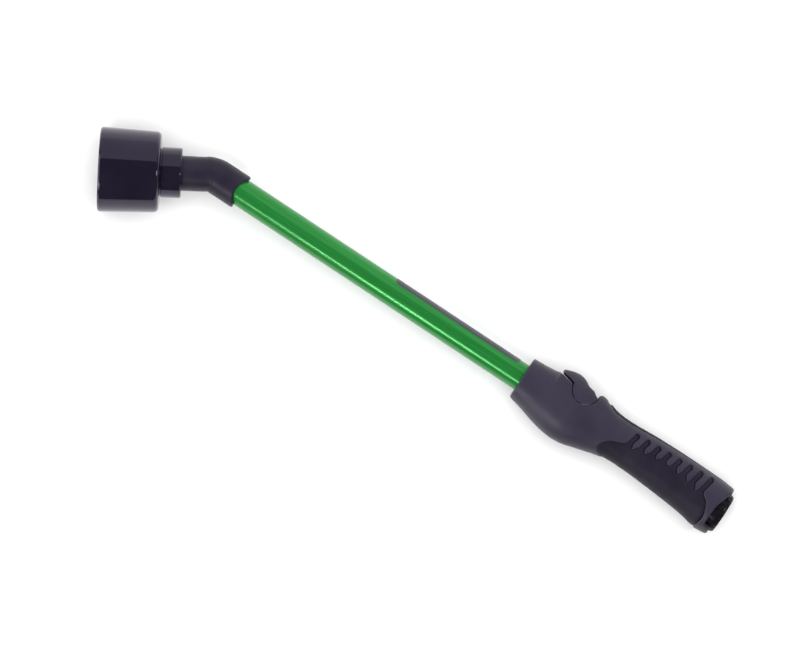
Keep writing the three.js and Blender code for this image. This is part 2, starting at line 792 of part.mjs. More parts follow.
function hoseWasher() {
  const from = NUT_FROM + NUT_BACK_WALL + 2.4 + GAP;
  return turned(pipe(from, from + 2.5, 6.8, NUT_BORE - 0.5), MIDDLE_ROUND).translate(0, INLET_Y, 0);
}

function swivelNut() {
  const ribbed = new THREE.Shape();
  const ribPitch = (2 * Math.PI) / NUT_RIBS;
  const corners = [
    [0, 0],
    [0.6, 0],
    [0.68, NUT_RIB_DEPTH],
    [0.92, NUT_RIB_DEPTH],
  ];
  for (let i = 0; i < NUT_RIBS; i++) {
    for (const [share, depth] of corners) {
      const a = ribPitch * (i + share);
      const x = (NUT_RADIUS - depth) * Math.cos(a);
      const y = (NUT_RADIUS - depth) * Math.sin(a);
      if (i === 0 && share === 0) ribbed.moveTo(x, y);
      else ribbed.lineTo(x, y);
    }
  }
  const length = NUT_TO - 2.2 - NUT_FROM;
  const body = new THREE.ExtrudeGeometry(ribbed, { depth: length, bevelEnabled: false });
  body.rotateY(Math.PI / 2).translate(NUT_FROM, 0, 0);
  const rim = turned([
    [NUT_FROM + 3, 0],
    [NUT_FROM + 3, NUT_RADIUS - NUT_RIB_DEPTH - 0.1],
    [NUT_TO - 1.4, NUT_RADIUS - NUT_RIB_DEPTH - 0.1],
    [NUT_TO - 0.4, NUT_RADIUS - NUT_RIB_DEPTH - 0.5],
    [NUT_TO, NUT_RADIUS - NUT_RIB_DEPTH - 1.0],
    [NUT_TO, 0],
  ], MIDDLE_ROUND);
  const bore = turned([
    [NUT_FROM - 1, 0],
    [NUT_FROM - 1, INLET_RADIUS + GAP],
    [NUT_FROM + NUT_BACK_WALL, INLET_RADIUS + GAP],
    [NUT_FROM + NUT_BACK_WALL, NUT_BORE],
    [NUT_TO + 1, NUT_BORE],
    [NUT_TO + 1, 0],
  ], MIDDLE_ROUND);
  return geometryOf(cut(join(solid(body), solid(rim)), solid(bore))).translate(0, INLET_Y, 0);
}

function nutRetainingRing() {
  const open = 0.45; // half of the ring's opening, in radians
  const ring = new THREE.Shape();
  ring.absarc(0, 0, 10.2, open, 2 * Math.PI - open, false);
  ring.absarc(0, 0, INLET_RADIUS + GAP, 2 * Math.PI - open, open, true);
  const plate = new THREE.ExtrudeGeometry(ring, { depth: 1.2, bevelEnabled: false, curveSegments: 14 });
  return plate.rotateY(Math.PI / 2).translate(NUT_FROM - 1.6, INLET_Y, 0);
}

// ---------------------------------------------------------------- assembly

function addMesh(group, name, geometry, material) {
  const mesh = new THREE.Mesh(geometry, material);
  mesh.name = name;
  group.add(mesh);
  return mesh;
}

const wand = new THREE.Group();

const head = new THREE.Group();
head.position.set(BEND_X, 0, 0);
head.rotation.z = Math.PI + BEND_ANGLE;
wand.add(head);
addMesh(head, "head_body", headBody(), finishes.glossyBlack());
addMesh(head, "spray_face", sprayFace(), finishes.satinBlack());
addMesh(head, "flow_spreader", flowSpreader(), finishes.nylon());
addMesh(head, "head_washer", turned(pipe(36.8, 38.9, 9, 13.2), MIDDLE_ROUND), finishes.rubber());

addMesh(wand, "elbow", elbow(), finishes.satinBlack());
const tubePipe = pipe(TUBE_FRONT, TUBE_REAR, TUBE_RADIUS - TUBE_WALL, TUBE_RADIUS);
addMesh(wand, "tube", turned(tubePipe), finishes.greenAnodised());
addMesh(wand, "tube_label", tubeLabel(), finishes.label());
addMesh(wand, "tube_front_o_ring", turned(ringProfile(-260.2, 11.45, 0.65), MIDDLE_ROUND), finishes.rubber());
addMesh(wand, "tube_rear_o_ring", turned(ringProfile(15.0, 11.45, 0.65), MIDDLE_ROUND), finishes.rubber());

const shell = handleShell();
const halfSpace = (from, to) => solid(block(-20, 200, -50, 50, from, to));
const leftShell = shell.intersect(halfSpace(GAP / 2, 40));
const rightShell = shell.intersect(halfSpace(-40, -GAP / 2));
addMesh(wand, "handle_shell_left", geometryOf(leftShell), finishes.softTouch());
addMesh(wand, "handle_shell_right", geometryOf(rightShell), finishes.softTouch());

const palmZone = solid(prism(palmOutline(0), -30, 30, 3));
const palm = cut(handleForm(SOFT_RECESS).intersect(palmZone), handleForm(SOFT_DEPTH));
addMesh(wand, "palm_grip", geometryOf(palm), finishes.softTouch());
const strip = cut(handleForm(0).intersect(stripPrism(0)), handleForm(STRIP_DEPTH));
addMesh(wand, "back_strip", geometryOf(strip), finishes.softTouch());

addMesh(wand, "thumb_lever", thumbLever(), finishes.softTouch());
addMesh(wand, "lever_pin", leverPin(), finishes.steel());

addMesh(wand, "valve_body", valveBody(), finishes.nylon());
addMesh(wand, "valve_plunger", valvePlunger(), finishes.brass());
addMesh(wand, "valve_seal", valveSeal(), finishes.rubber());
const stemRing = turnedUpright(ringProfile(4.05, 3.05, 0.62)).translate(PIVOT_X, 0, 0);
addMesh(wand, "stem_o_ring", stemRing, finishes.rubber());
addMesh(wand, "valve_spring", valveSpring(), finishes.steel());
addMesh(wand, "valve_cap", valveCap(), finishes.nylon());
const capRing = turnedUpright(ringProfile(-15.65, 7.25, 0.55)).translate(PIVOT_X, 0, 0);
addMesh(wand, "cap_o_ring", capRing, finishes.rubber());

addMesh(wand, "inlet_tube", inletTube(), finishes.nylon());
const inletRing = turned(ringProfile(67.3, 8.95, 0.55), SMALL_ROUND).translate(0, INLET_Y, 0);
addMesh(wand, "inlet_o_ring", inletRing, finishes.rubber());
addMesh(wand, "swivel_nut", swivelNut(), finishes.glossyBlack());
addMesh(wand, "nut_retaining_ring", nutRetainingRing(), finishes.steel());
addMesh(wand, "hose_washer", hoseWasher(), finishes.rubber());

// The wand lies on its side, on the rim of its head and on the end of its handle.
const rimX = BEND_X - HEAD_FRONT * Math.cos(BEND_ANGLE);
const [endX, , , endHalf] = HANDLE_SECTIONS[HANDLE_SECTIONS.length - 2];
wand.rotation.y = Math.atan2(HEAD_RIM_RADIUS - endHalf, endX - rimX);
wand.updateMatrixWorld(true);

// The origin is on the floor, under the middle of the wand.
const extent = new THREE.Box3().setFromObject(wand, true);
const middle = extent.getCenter(new THREE.Vector3());
wand.position.set(-middle.x, -middle.y, -extent.min.z);

const wateringWand = new THREE.Group();
wateringWand.add(wand);

export default wateringWand;
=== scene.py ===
import json
import math
import bmesh
import bpy
import numpy as np
from mathutils import Matrix, Vector


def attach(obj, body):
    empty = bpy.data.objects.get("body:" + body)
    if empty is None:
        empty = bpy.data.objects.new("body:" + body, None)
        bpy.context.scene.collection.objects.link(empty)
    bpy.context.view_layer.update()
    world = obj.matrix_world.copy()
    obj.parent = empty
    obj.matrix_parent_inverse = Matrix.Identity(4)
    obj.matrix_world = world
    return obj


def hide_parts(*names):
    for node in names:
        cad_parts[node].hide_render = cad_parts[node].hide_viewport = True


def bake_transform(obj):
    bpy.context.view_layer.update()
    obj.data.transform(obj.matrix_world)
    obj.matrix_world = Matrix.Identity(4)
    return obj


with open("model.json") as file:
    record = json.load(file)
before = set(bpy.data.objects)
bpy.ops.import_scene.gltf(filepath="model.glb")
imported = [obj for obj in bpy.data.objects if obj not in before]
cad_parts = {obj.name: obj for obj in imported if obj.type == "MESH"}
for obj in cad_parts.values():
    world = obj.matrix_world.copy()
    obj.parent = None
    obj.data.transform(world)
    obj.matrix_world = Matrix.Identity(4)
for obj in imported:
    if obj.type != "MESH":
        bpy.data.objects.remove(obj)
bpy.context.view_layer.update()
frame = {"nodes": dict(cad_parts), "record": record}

# The wand is described in its own axes, in mm: x along the tube to the hose end, from the
# handle's front face; y to the lever's side; z across the handle.

jointOf = {j["name"]: j for j in frame["record"]["behaviour"]["joints"]}
pivot = {"x": 44.8, "y": 18.6}
alongTube = Vector(jointOf["nut_swivel"]["axis"]).normalized()
acrossHandle = -Vector(jointOf["lever_pivot"]["axis"]).normalized()
toLever = acrossHandle.cross(alongTube).normalized()
pivotPoint = Vector(jointOf["lever_pivot"]["pos_m"])
wandOrigin = pivotPoint - alongTube * pivot["x"] / 1000 - toLever * pivot["y"] / 1000
wandMatrix = Matrix((
    (alongTube.x, toLever.x, acrossHandle.x, wandOrigin.x),
    (alongTube.y, toLever.y, acrossHandle.y, wandOrigin.y),
    (alongTube.z, toLever.z, acrossHandle.z, wandOrigin.z),
    (0, 0, 0, 1)))


def wandPoint(x, y, z):
    return wandMatrix @ Vector((x / 1000, y / 1000, z / 1000))


def socket(node, name, value):
    node.inputs[name].default_value = value


def makeMaterial(name, color, roughness, metallic=0.0, coat=0.0, coatRoughness=0.1, specular=0.5,
                 tint=(1, 1, 1)):
    material = bpy.data.materials.new(name)
    material.use_nodes = True
    shader = material.node_tree.nodes["Principled BSDF"]
    socket(shader, "Base Color", (*color, 1))
    socket(shader, "Roughness", roughness)
    socket(shader, "Metallic", metallic)
    socket(shader, "Coat Weight", coat)
    socket(shader, "Coat Roughness", coatRoughness)
    socket(shader, "Specular IOR Level", specular)
    socket(shader, "Specular Tint", (*tint, 1))
    return material, shader


def objectNoise(material, scale, detail=4.0, stretch=(1, 1, 1)):
    nodes = material.node_tree.nodes
    links = material.node_tree.links
    coords = nodes.new("ShaderNodeTexCoord")
    mapping = nodes.new("ShaderNodeMapping")
    mapping.inputs["Scale"].default_value = stretch
    noise = nodes.new("ShaderNodeTexNoise")
    socket(noise, "Scale", scale)
    socket(noise, "Detail", detail)
    links.new(coords.outputs["Object"], mapping.inputs["Vector"])
    links.new(mapping.outputs["Vector"], noise.inputs["Vector"])
    return noise


def rampBetween(material, source, low, high, place=(0.35, 0.65)):
    nodes = material.node_tree.nodes
    ramp = nodes.new("ShaderNodeValToRGB")
    ramp.color_ramp.elements[0].position = place[0]
    ramp.color_ramp.elements[1].position = place[1]
    ramp.color_ramp.elements[0].color = (*low, 1)
    ramp.color_ramp.elements[1].color = (*high, 1)
    material.node_tree.links.new(source, ramp.inputs["Fac"])
    return ramp.outputs["Color"]


def bumpFrom(material, shader, source, strength, distance):
    bump = material.node_tree.nodes.new("ShaderNodeBump")
    socket(bump, "Strength", strength)
    socket(bump, "Distance", distance)
    material.node_tree.links.new(source, bump.inputs["Height"])
    material.node_tree.links.new(bump.outputs["Normal"], shader.inputs["Normal"])


def variedFinish(name, low, high, roughLow, roughHigh, scale, bumpStrength=0.05, bumpScale=900, **more):
    material, shader = makeMaterial(name, low, roughLow, **more)
    tone = objectNoise(material, scale)
    links = material.node_tree.links
    links.new(rampBetween(material, tone.outputs["Fac"], low, high), shader.inputs["Base Color"])
    spread = (roughLow,) * 3, (roughHigh,) * 3
    patches = objectNoise(material, scale * 2.7, 5.0)
    links.new(rampBetween(material, patches.outputs["Fac"], *spread), shader.inputs["Roughness"])
    if bumpStrength:
        grain = objectNoise(material, bumpScale, 2.0)
        bumpFrom(material, shader, grain.outputs["Fac"], bumpStrength, 0.0001)
    return material


def rawObject(name, vertices, faces, material, smooth=True):
    mesh = bpy.data.meshes.new(name)
    mesh.from_pydata([wandPoint(*v) for v in vertices], [], faces)
    obj = bpy.data.objects.new(name, mesh)
    bpy.context.scene.collection.objects.link(obj)
    mesh.materials.append(material)
    mesh.polygons.foreach_set("use_smooth", [smooth] * len(mesh.polygons))
    mesh.update()
    return obj


def meshObject(name, vertices, faces, material, smooth=True):
    obj = rawObject(name, vertices, faces, material, smooth)
    obj.data.validate()
    fixNormals(obj)
    return obj


def fixNormals(obj):
    work = bmesh.new()
    work.from_mesh(obj.data)
    bmesh.ops.remove_doubles(work, verts=work.verts, dist=1e-7)
    bmesh.ops.recalc_face_normals(work, faces=work.faces)
    if work.calc_volume(signed=True) < 0:
        bmesh.ops.reverse_faces(work, faces=work.faces)
    work.to_mesh(obj.data)
    work.free()


def sharpenEdges(obj, degrees=35):
    mesh = obj.data
    work = bmesh.new()
    work.from_mesh(mesh)
    limit = math.radians(degrees)
    for edge in work.edges:
        if len(edge.link_faces) == 2 and edge.calc_face_angle(0) > limit:
            edge.smooth = False
    work.to_mesh(mesh)
    work.free()


def roundedProfile(corners):
    # corners: [along, radius, fillet]; each fillet becomes a short arc
    points = []
    count = len(corners)
    for i, (along, radius, fillet) in enumerate(corners):
        if fillet <= 0 or i in (0, count - 1):
            points.append((along, radius))
            continue
        here = Vector((along, radius))
        before = (Vector(corners[i - 1][:2]) - here)
        after = (Vector(corners[i + 1][:2]) - here)
        angle = before.angle(after, 0)
        if angle > math.pi - 0.02 or angle < 0.02:
            points.append((along, radius))
            continue
        reach = min(fillet / math.tan(angle / 2), before.length * 0.49, after.length * 0.49)
        first = here + before.normalized() * reach
        last = here + after.normalized() * reach
        steps = 6
        for k in range(steps + 1):
            t = k / steps
            p = first * (1 - t) ** 2 + here * 2 * t * (1 - t) + last * t ** 2
            points.append((p.x, p.y))
    return points


def ringPairs(count, closed=True):
    pairs = [(i, i + 1) for i in range(count - 1)]
    return pairs + [(count - 1, 0)] if closed else pairs


def ringFaces(pairs, around):
    # the four-sided faces between the two rings of points in each pair
    faces = []
    for i, j in pairs:
        for k in range(around):
            m = (k + 1) % around
            faces.append((i * around + k, i * around + m, j * around + m, j * around + k))
    return faces


def turnedMesh(profile, sides, place):
    # place turns (along, radius, angle) into wand coordinates
    angles = [2 * math.pi * k / sides for k in range(sides)]
    vertices = [place(along, radius, angle) for along, radius in profile for angle in angles]
    # no faces run between two points on the axis
    pairs = [(i, j) for i, j in ringPairs(len(profile)) if max(profile[i][1], profile[j][1]) >= 1e-6]
    return vertices, ringFaces(pairs, sides)


def turnedObject(name, corners, sides, place, material):
    vertices, faces = turnedMesh(roundedProfile(corners), sides, place)
    obj = meshObject(name, vertices, faces, material)
    dissolveFlat(obj)
    sharpenEdges(obj, 40)
    return obj


def dissolveFlat(obj):
    # zero-size faces at an axis are cleared away
    work = bmesh.new()
    work.from_mesh(obj.data)
    bmesh.ops.dissolve_degenerate(work, dist=1e-7, edges=work.edges)
    work.to_mesh(obj.data)
    work.free()


def aroundTube(along, radius, angle):
    return (along, radius * math.cos(angle), radius * math.sin(angle))


headSet = {"bendX": -272.5, "bend": math.radians(30.5)}


def aroundHead(along, radius, angle):
    c, s = math.cos(headSet["bend"]), math.sin(headSet["bend"])
    y = radius * math.cos(angle)
    return (headSet["bendX"] - along * c + y * s, -along * s - y * c, radius * math.sin(angle))


inletSet = {"y": -2.8}


print("finishes")

glossBlack = variedFinish("glossBlack", (0.007, 0.005, 0.012), (0.010, 0.008, 0.016), 0.05, 0.09, 30,
                          bumpStrength=0.008, bumpScale=220, tint=(0.80, 0.70, 1.0))
satinBlack = variedFinish("satinBlack", (0.011, 0.008, 0.018), (0.016, 0.012, 0.025), 0.36, 0.46, 60,
                          bumpStrength=0.10, bumpScale=1500, specular=0.24)
handlePlastic = variedFinish("handlePlastic", (0.018, 0.014, 0.029), (0.024, 0.019, 0.037), 0.42, 0.52, 40,
                             bumpStrength=0.16, bumpScale=1600, specular=0.38)
softGrip = variedFinish("softGrip", (0.008, 0.006, 0.014), (0.012, 0.009, 0.019), 0.50, 0.60, 55,
                        bumpStrength=0.22, bumpScale=1900, specular=0.2)
nutBlack = variedFinish("nutBlack", (0.003, 0.003, 0.004), (0.005, 0.004, 0.007), 0.30, 0.40, 50,
                        bumpStrength=0.02, bumpScale=300, specular=0.15)
labelFilm = variedFinish("labelFilm", (0.030, 0.025, 0.043), (0.038, 0.032, 0.052), 0.36, 0.44, 20,
                         bumpStrength=0.04, bumpScale=700)
faceBlack = variedFinish("faceBlack", (0.024, 0.022, 0.028), (0.032, 0.029, 0.036), 0.30, 0.42, 45,
                         bumpStrength=0.06, bumpScale=1200)
naturalNylon = variedFinish("naturalNylon", (0.62, 0.60, 0.53), (0.72, 0.70, 0.64), 0.42, 0.52, 35,
                            bumpStrength=0.05, bumpScale=900)
blackRubber = variedFinish("blackRubber", (0.010, 0.010, 0.011), (0.018, 0.017, 0.018), 0.60, 0.75, 90,
                           bumpStrength=0.1, bumpScale=1500)
springSteel = variedFinish("springSteel", (0.50, 0.51, 0.53), (0.60, 0.61, 0.63), 0.22, 0.34, 120,
                           bumpStrength=0.02, metallic=1.0)
turnedBrass = variedFinish("turnedBrass", (0.50, 0.34, 0.13), (0.60, 0.42, 0.18), 0.26, 0.36, 110,
                           bumpStrength=0.03, metallic=1.0)


def anodisedGreen():
    # green anodising over drawn aluminium: long fine draw lines, a satin sheen
    material, shader = makeMaterial("anodisedGreen", (0.012, 0.20, 0.030), 0.24, metallic=0.45,
                                    coat=0.15, coatRoughness=0.2)
    links = material.node_tree.links
    streaks = objectNoise(material, 26, 6.0, (0.12, 14, 14))
    tone = rampBetween(material, streaks.outputs["Fac"], (0.010, 0.19, 0.026), (0.014, 0.225, 0.035))
    links.new(tone, shader.inputs["Base Color"])
    fine = objectNoise(material, 160, 4.0, (0.05, 9, 9))
    dullness = rampBetween(material, fine.outputs["Fac"], (0.24,) * 3, (0.32,) * 3)
    links.new(dullness, shader.inputs["Roughness"])
    bumpFrom(material, shader, fine.outputs["Fac"], 0.05, 0.0001)
    return material


tubeGreen = anodisedGreen()

print("CAD finishes")

plainFinishes = {
    "flow_spreader": naturalNylon, "head_washer": blackRubber, "tube_front_o_ring": blackRubber,
    "tube_rear_o_ring": blackRubber, "lever_pin": springSteel, "valve_body": naturalNylon,
    "valve_plunger": turnedBrass, "valve_seal": blackRubber, "stem_o_ring": blackRubber,
    "valve_cap": naturalNylon, "cap_o_ring": blackRubber, "inlet_tube": naturalNylon,
    "inlet_o_ring": blackRubber, "nut_retaining_ring": springSteel, "hose_washer": blackRubber,
}
for nodeName, finish in plainFinishes.items():
    shown = frame["nodes"][nodeName]
    if not shown.material_slots:
        shown.data.materials.append(finish)
    for slotHere in shown.material_slots:
        slotHere.material = finish

print("spray head")

headCup = {
    "rimRadius": 31.6, "backRadius": 30.05, "front": 85.2, "back": 40.1, "wall": 2.3,
    "collarRadius": 18.7, "collarFrom": 24.2, "collarTo": 38.9, "collarWaist": 17.9,
    "socketRadius": 13.7, "socketEnd": 39.2, "throatRadius": 9.2, "coneFrom": 42.9, "coneTo": 46.3,
    "seatRadius": 27.3, "seat": 56.3, "sides": 144,
}


def headCorners():
    c = headCup
    inside = c["rimRadius"] - c["wall"]
    return [
        (c["collarFrom"], c["socketRadius"], 0),
        (c["collarFrom"], c["collarRadius"] - 0.1, 1.6),
        (c["collarTo"], c["collarRadius"], 1.2),
        (c["collarTo"], c["collarWaist"], 0.15),
        (c["back"], c["collarWaist"], 0.4),
        (c["back"], c["backRadius"] - 0.2, 4.2),
        (c["front"] - 1.4, c["rimRadius"] - 0.05, 0.5),
        (c["front"], c["rimRadius"] - 0.85, 0.35),
        (c["front"], inside, 0.9),
        (c["seat"], inside, 0.2),
        (c["seat"], c["seatRadius"], 0.3),
        (c["coneTo"], c["seatRadius"], 1.5),
        (c["coneFrom"], c["throatRadius"], 0.4),
        (c["socketEnd"], c["throatRadius"], 0.2),
        (c["socketEnd"], c["socketRadius"], 0.2),
    ]


headPiece = turnedObject("head_cup", headCorners(), headCup["sides"], aroundHead, glossBlack)
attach(headPiece, "handle")
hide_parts("head_body")


faceSet = {
    "radius": 28.9, "front": 83.2, "thick": 1.9, "dome": 0.75, "domeRadius": 27.0,
    "rings": 11, "firstRing": 2.5, "pitch": 2.35, "hole": 0.42, "corners": 12, "middle": 1.3,
    "valley": 27.9, "roll": 28.3, "rollHeight": 1.0, "skirtBack": 58.8, "skirtWall": 1.6,
}


def faceHeight(radius):
    # the plate is slightly domed, with a shallow valley before its rolled edge
    return faceSet["front"] + faceSet["dome"] * (1 - (radius / faceSet["domeRadius"]) ** 2)


def sprayPlate():
    # a plate of small cells, each with one round hole, so that every hole goes right through
    vertices = []
    faces = []
    corners = faceSet["corners"]

    def add(radius, angle, back):
        along = faceHeight(radius) - (faceSet["thick"] if back else 0)
        vertices.append(aroundHead(along, radius, angle))
        return len(vertices) - 1

    def cell(rLow, rHigh, aLow, aHigh, radius, angle, hole):
        # the outline has as many points as the hole, at matching places
        rims = []
        holes = []
        for back in (False, True):
            rim = []
            inner = []
            for k in range(corners):
                turn = 2 * math.pi * (k + 0.5) / corners
                c, s = math.cos(turn), math.sin(turn)
                grow = 1 / max(abs(c), abs(s))
                r = radius + hole * c
                a = angle + hole * s / radius
                inner.append(add(r, a, back))
                px, py = c * grow, s * grow
                r = rLow + (rHigh - rLow) * (px + 1) / 2
                a = aLow + (aHigh - aLow) * (py + 1) / 2
                rim.append(add(r, a, back))
            rims.append(rim)
            holes.append(inner)
        for k in range(corners):
            m = (k + 1) % corners
            faces.append((rims[0][k], rims[0][m], holes[0][m], holes[0][k]))
            faces.append((rims[1][m], rims[1][k], holes[1][k], holes[1][m]))
            faces.append((holes[0][k], holes[0][m], holes[1][m], holes[1][k]))

    low = faceSet["middle"]
    for ring in range(faceSet["rings"]):
        radius = faceSet["firstRing"] + ring * faceSet["pitch"]
        high = radius + faceSet["pitch"] / 2
        count = max(6, 6 * (ring + 1))
        for k in range(count):
            aLow = 2 * math.pi * (k - 0.5) / count
            aHigh = 2 * math.pi * (k + 0.5) / count
            cell(low, high, aLow, aHigh, radius, 2 * math.pi * k / count, faceSet["hole"])
        low = high
    return vertices, faces, low


plateVertices, plateFaces, edge = sprayPlate()
platePiece = meshObject("spray_plate", plateVertices, plateFaces, faceBlack, smooth=False)
# the plain middle and the rolled edge with its skirt
thick, middle = faceSet["thick"], faceSet["middle"]
rollTop = faceSet["front"] + faceSet["rollHeight"]
skirtInside = faceSet["radius"] - faceSet["skirtWall"]
hubCorners = [
    (faceHeight(0) - thick, 0, 0),
    (faceHeight(middle) - thick, middle, 0),
    (faceHeight(middle), middle, 0),
    (faceHeight(0), 0, 0),
]
edgeCorners = [
    (faceHeight(edge) - thick, edge, 0),
    (faceHeight(edge), edge, 0),
    (faceHeight(edge), faceSet["valley"], 0.2),
    (rollTop, faceSet["roll"], 0.3),
    (rollTop, faceSet["radius"], 0.4),
    (faceSet["skirtBack"], faceSet["radius"], 0.2),
    (faceSet["skirtBack"], skirtInside, 0.2),
    (faceHeight(edge) - thick, skirtInside, 0),
]
hubPiece = turnedObject("spray_plate_middle", hubCorners, 36, aroundHead, faceBlack)
skirtPiece = turnedObject("spray_plate_skirt", edgeCorners, 144, aroundHead, faceBlack)
for piece in (platePiece, hubPiece, skirtPiece):
    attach(piece, "handle")
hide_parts("spray_face")

print("elbow")

elbowSet = {
    "sleeveEnd": -248.5, "sleeveRadius": 13.3, "neckRadius": 12.95, "bendRadius": 19.0,
    "mouthDepth": 4.6, "mouthHalf": 11.6, "spigotEnd": 36.4, "bore": 8.0, "sides": 96, "pinch": 0.5,
    "socketEnd": -268.1, "socketRadius": 10.85, "groove": (-261.6, -258.85), "grooveRadius": 12.3,
}


def elbowPiece():
    e = elbowSet
    bend = headSet["bend"]
    tangent = e["bendRadius"] * math.tan(bend / 2)
    bendStart = headSet["bendX"] + tangent
    stations = []  # centre x, centre y, turn, radius, mouth share

    def onNeck(distance):
        return headSet["bendX"] - distance * math.cos(bend), -distance * math.sin(bend)

    def onBend(turn):
        return bendStart - e["bendRadius"] * math.sin(turn), -e["bendRadius"] * (1 - math.cos(turn))

    lip = [(0.0, 1.5), (0.1, 0.95), (0.35, 0.5), (0.8, 0.2), (1.4, 0.04), (2.0, 0.0)]
    for back, shrink in lip:
        stations.append((e["sleeveEnd"] - back, 0, 0, e["sleeveRadius"] - shrink, 1.0 - back / 60))
    for k in range(1, 7):
        x = e["sleeveEnd"] - 2.0 - (e["sleeveEnd"] - 2.0 - bendStart) * k / 6
        stations.append((x, 0, 0, e["sleeveRadius"], 0.97 * (1 - k / 6)))
    steps = 16
    pinches = {}  # how far each ring is drawn in on the bend's inner half
    for k in range(1, steps):
        turn = bend * k / steps
        if k >= steps // 2:
            pinches[len(stations)] = e["pinch"]
        stations.append((*onBend(turn), turn, e["sleeveRadius"], 0))
    waist = (e["sleeveRadius"] + e["neckRadius"]) / 2
    neck = [(tangent, e["sleeveRadius"] - 0.05, 0.9), (tangent + 1.5, waist, 0.5),
            (tangent + 3.5, e["neckRadius"], 0), (16, e["neckRadius"], 0),
            (e["spigotEnd"] - 0.8, e["neckRadius"], 0), (e["spigotEnd"], e["neckRadius"] - 0.7, 0)]
    for distance, radius, pinch in neck:
        pinches[len(stations)] = e["pinch"] * pinch
        stations.append((*onNeck(distance), bend, radius, 0))
    # back through the bore
    for distance, wider in ((e["spigotEnd"], 0.4), (e["spigotEnd"] - 0.5, 0), (tangent, 0)):
        stations.append((*onNeck(distance), bend, e["bore"] + wider, 0))
    for k in range(steps - 1, -1, -2):
        turn = bend * k / steps
        stations.append((*onBend(turn), turn, e["bore"], 0))
    # the tube's socket, with its groove for an O-ring
    grooveFrom, grooveTo = e["groove"]
    for x, radius, mouth in (
            (e["socketEnd"], e["bore"] - 0.05, 0), (e["socketEnd"] + 0.05, e["socketRadius"], 0),
            (grooveFrom, e["socketRadius"], 0), (grooveFrom + 0.05, e["grooveRadius"], 0),
            (grooveTo, e["grooveRadius"], 0), (grooveTo + 0.05, e["socketRadius"], 0),
            (e["sleeveEnd"] - 3.0, e["socketRadius"], 0.95), (e["sleeveEnd"] - 1.2, 11.5, 0.98),
            (e["sleeveEnd"] - 0.15, 11.7, 1.0)):
        stations.append((x, 0, 0, radius, mouth))

    vertices = []
    sides = e["sides"]
    for n, (cx, cy, turn, radius, mouth) in enumerate(stations):
        for k in range(sides):
            a = 2 * math.pi * k / sides
            ringRadius = radius - pinches.get(n, 0) / (1 + math.exp(9 * (math.cos(a) + 0.05)))
            ly, lz = ringRadius * math.cos(a), ringRadius * math.sin(a)
            # the mouth of the sleeve curves back at both sides of the wand
            back = e["mouthDepth"] * mouth * max(0.0, 1 - (ly / e["mouthHalf"]) ** 2)
            # the side towards the lever is the outside of the bend
            vertices.append((cx - back - ly * math.sin(turn), cy + ly * math.cos(turn), lz))
    return vertices, ringFaces(ringPairs(len(stations)), sides)


elbowVertices, elbowFaces = elbowPiece()
elbowMade = meshObject("elbow_moulding", elbowVertices, elbowFaces, satinBlack)
sharpenEdges(elbowMade, 40)
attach(elbowMade, "handle")
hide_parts("elbow")

print("tube and label")

tubeSet = {"from": -267.5, "to": 23.5, "radius": 10.5, "wall": 1.0, "sides": 128}
tubeCorners = [
    (tubeSet["from"], tubeSet["radius"] - tubeSet["wall"], 0.2),
    (tubeSet["from"], tubeSet["radius"], 0.25),
    (tubeSet["to"], tubeSet["radius"], 0.25),
    (tubeSet["to"], tubeSet["radius"] - tubeSet["wall"], 0.2),
]
tubePiece = turnedObject("tube_drawn", tubeCorners, tubeSet["sides"], aroundTube, tubeGreen)
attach(tubePiece, "handle")
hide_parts("tube")

labelSet = {
    "from": -117.0, "to": -8.0, "halfAngle": math.radians(46), "inner": 10.56, "thick": 0.14,
    "corner": 3.0, "cornerSteps": 8, "middleSteps": 24, "across": 40,
}


def labelPiece():
    # a thin film with round corners, wrapped on the tube's lever side
    s = labelSet
    halfWidth = s["halfAngle"] * s["inner"]
    start, end, corner, across = s["from"], s["to"], s["corner"], s["across"]
    turns = [math.pi / 2 * k / s["cornerSteps"] for k in range(s["cornerSteps"] + 1)]
    xs = [start + corner * (1 - math.cos(turn)) for turn in turns]
    xs += [start + corner + (end - start - 2 * corner) * k / s["middleSteps"]
           for k in range(1, s["middleSteps"])]
    xs += [end - corner * (1 - math.sin(turn)) for turn in turns]
    vertices = []
    for x in xs:
        near = min(x - start, end - x)
        inset = 0.0
        if near < corner:
            inset = corner - math.sqrt(max(0.0, corner ** 2 - (corner - near) ** 2))
        half = (halfWidth - inset) / s["inner"]
        sweep = [-half + 2 * half * k / across for k in range(across + 1)]
        # out along the inner face and back along the outer one
        for r, angles in ((s["inner"], sweep), (s["inner"] + s["thick"], reversed(sweep))):
            vertices += [(x, r * math.cos(a), r * math.sin(a)) for a in angles]
    ring = 2 * (across + 1)
    faces = ringFaces(ringPairs(len(xs), closed=False), ring)
    for base in (0, (len(xs) - 1) * ring):
        for k in range(across):
            faces.append((base + k, base + k + 1, base + ring - 2 - k, base + ring - 1 - k))
    return vertices, faces


labelVertices, labelFaces = labelPiece()
labelMade = meshObject("label_film", labelVertices, labelFaces, labelFilm)
sharpenEdges(labelMade, 40)
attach(labelMade, "handle")
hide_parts("tube_label")

print("handle form")

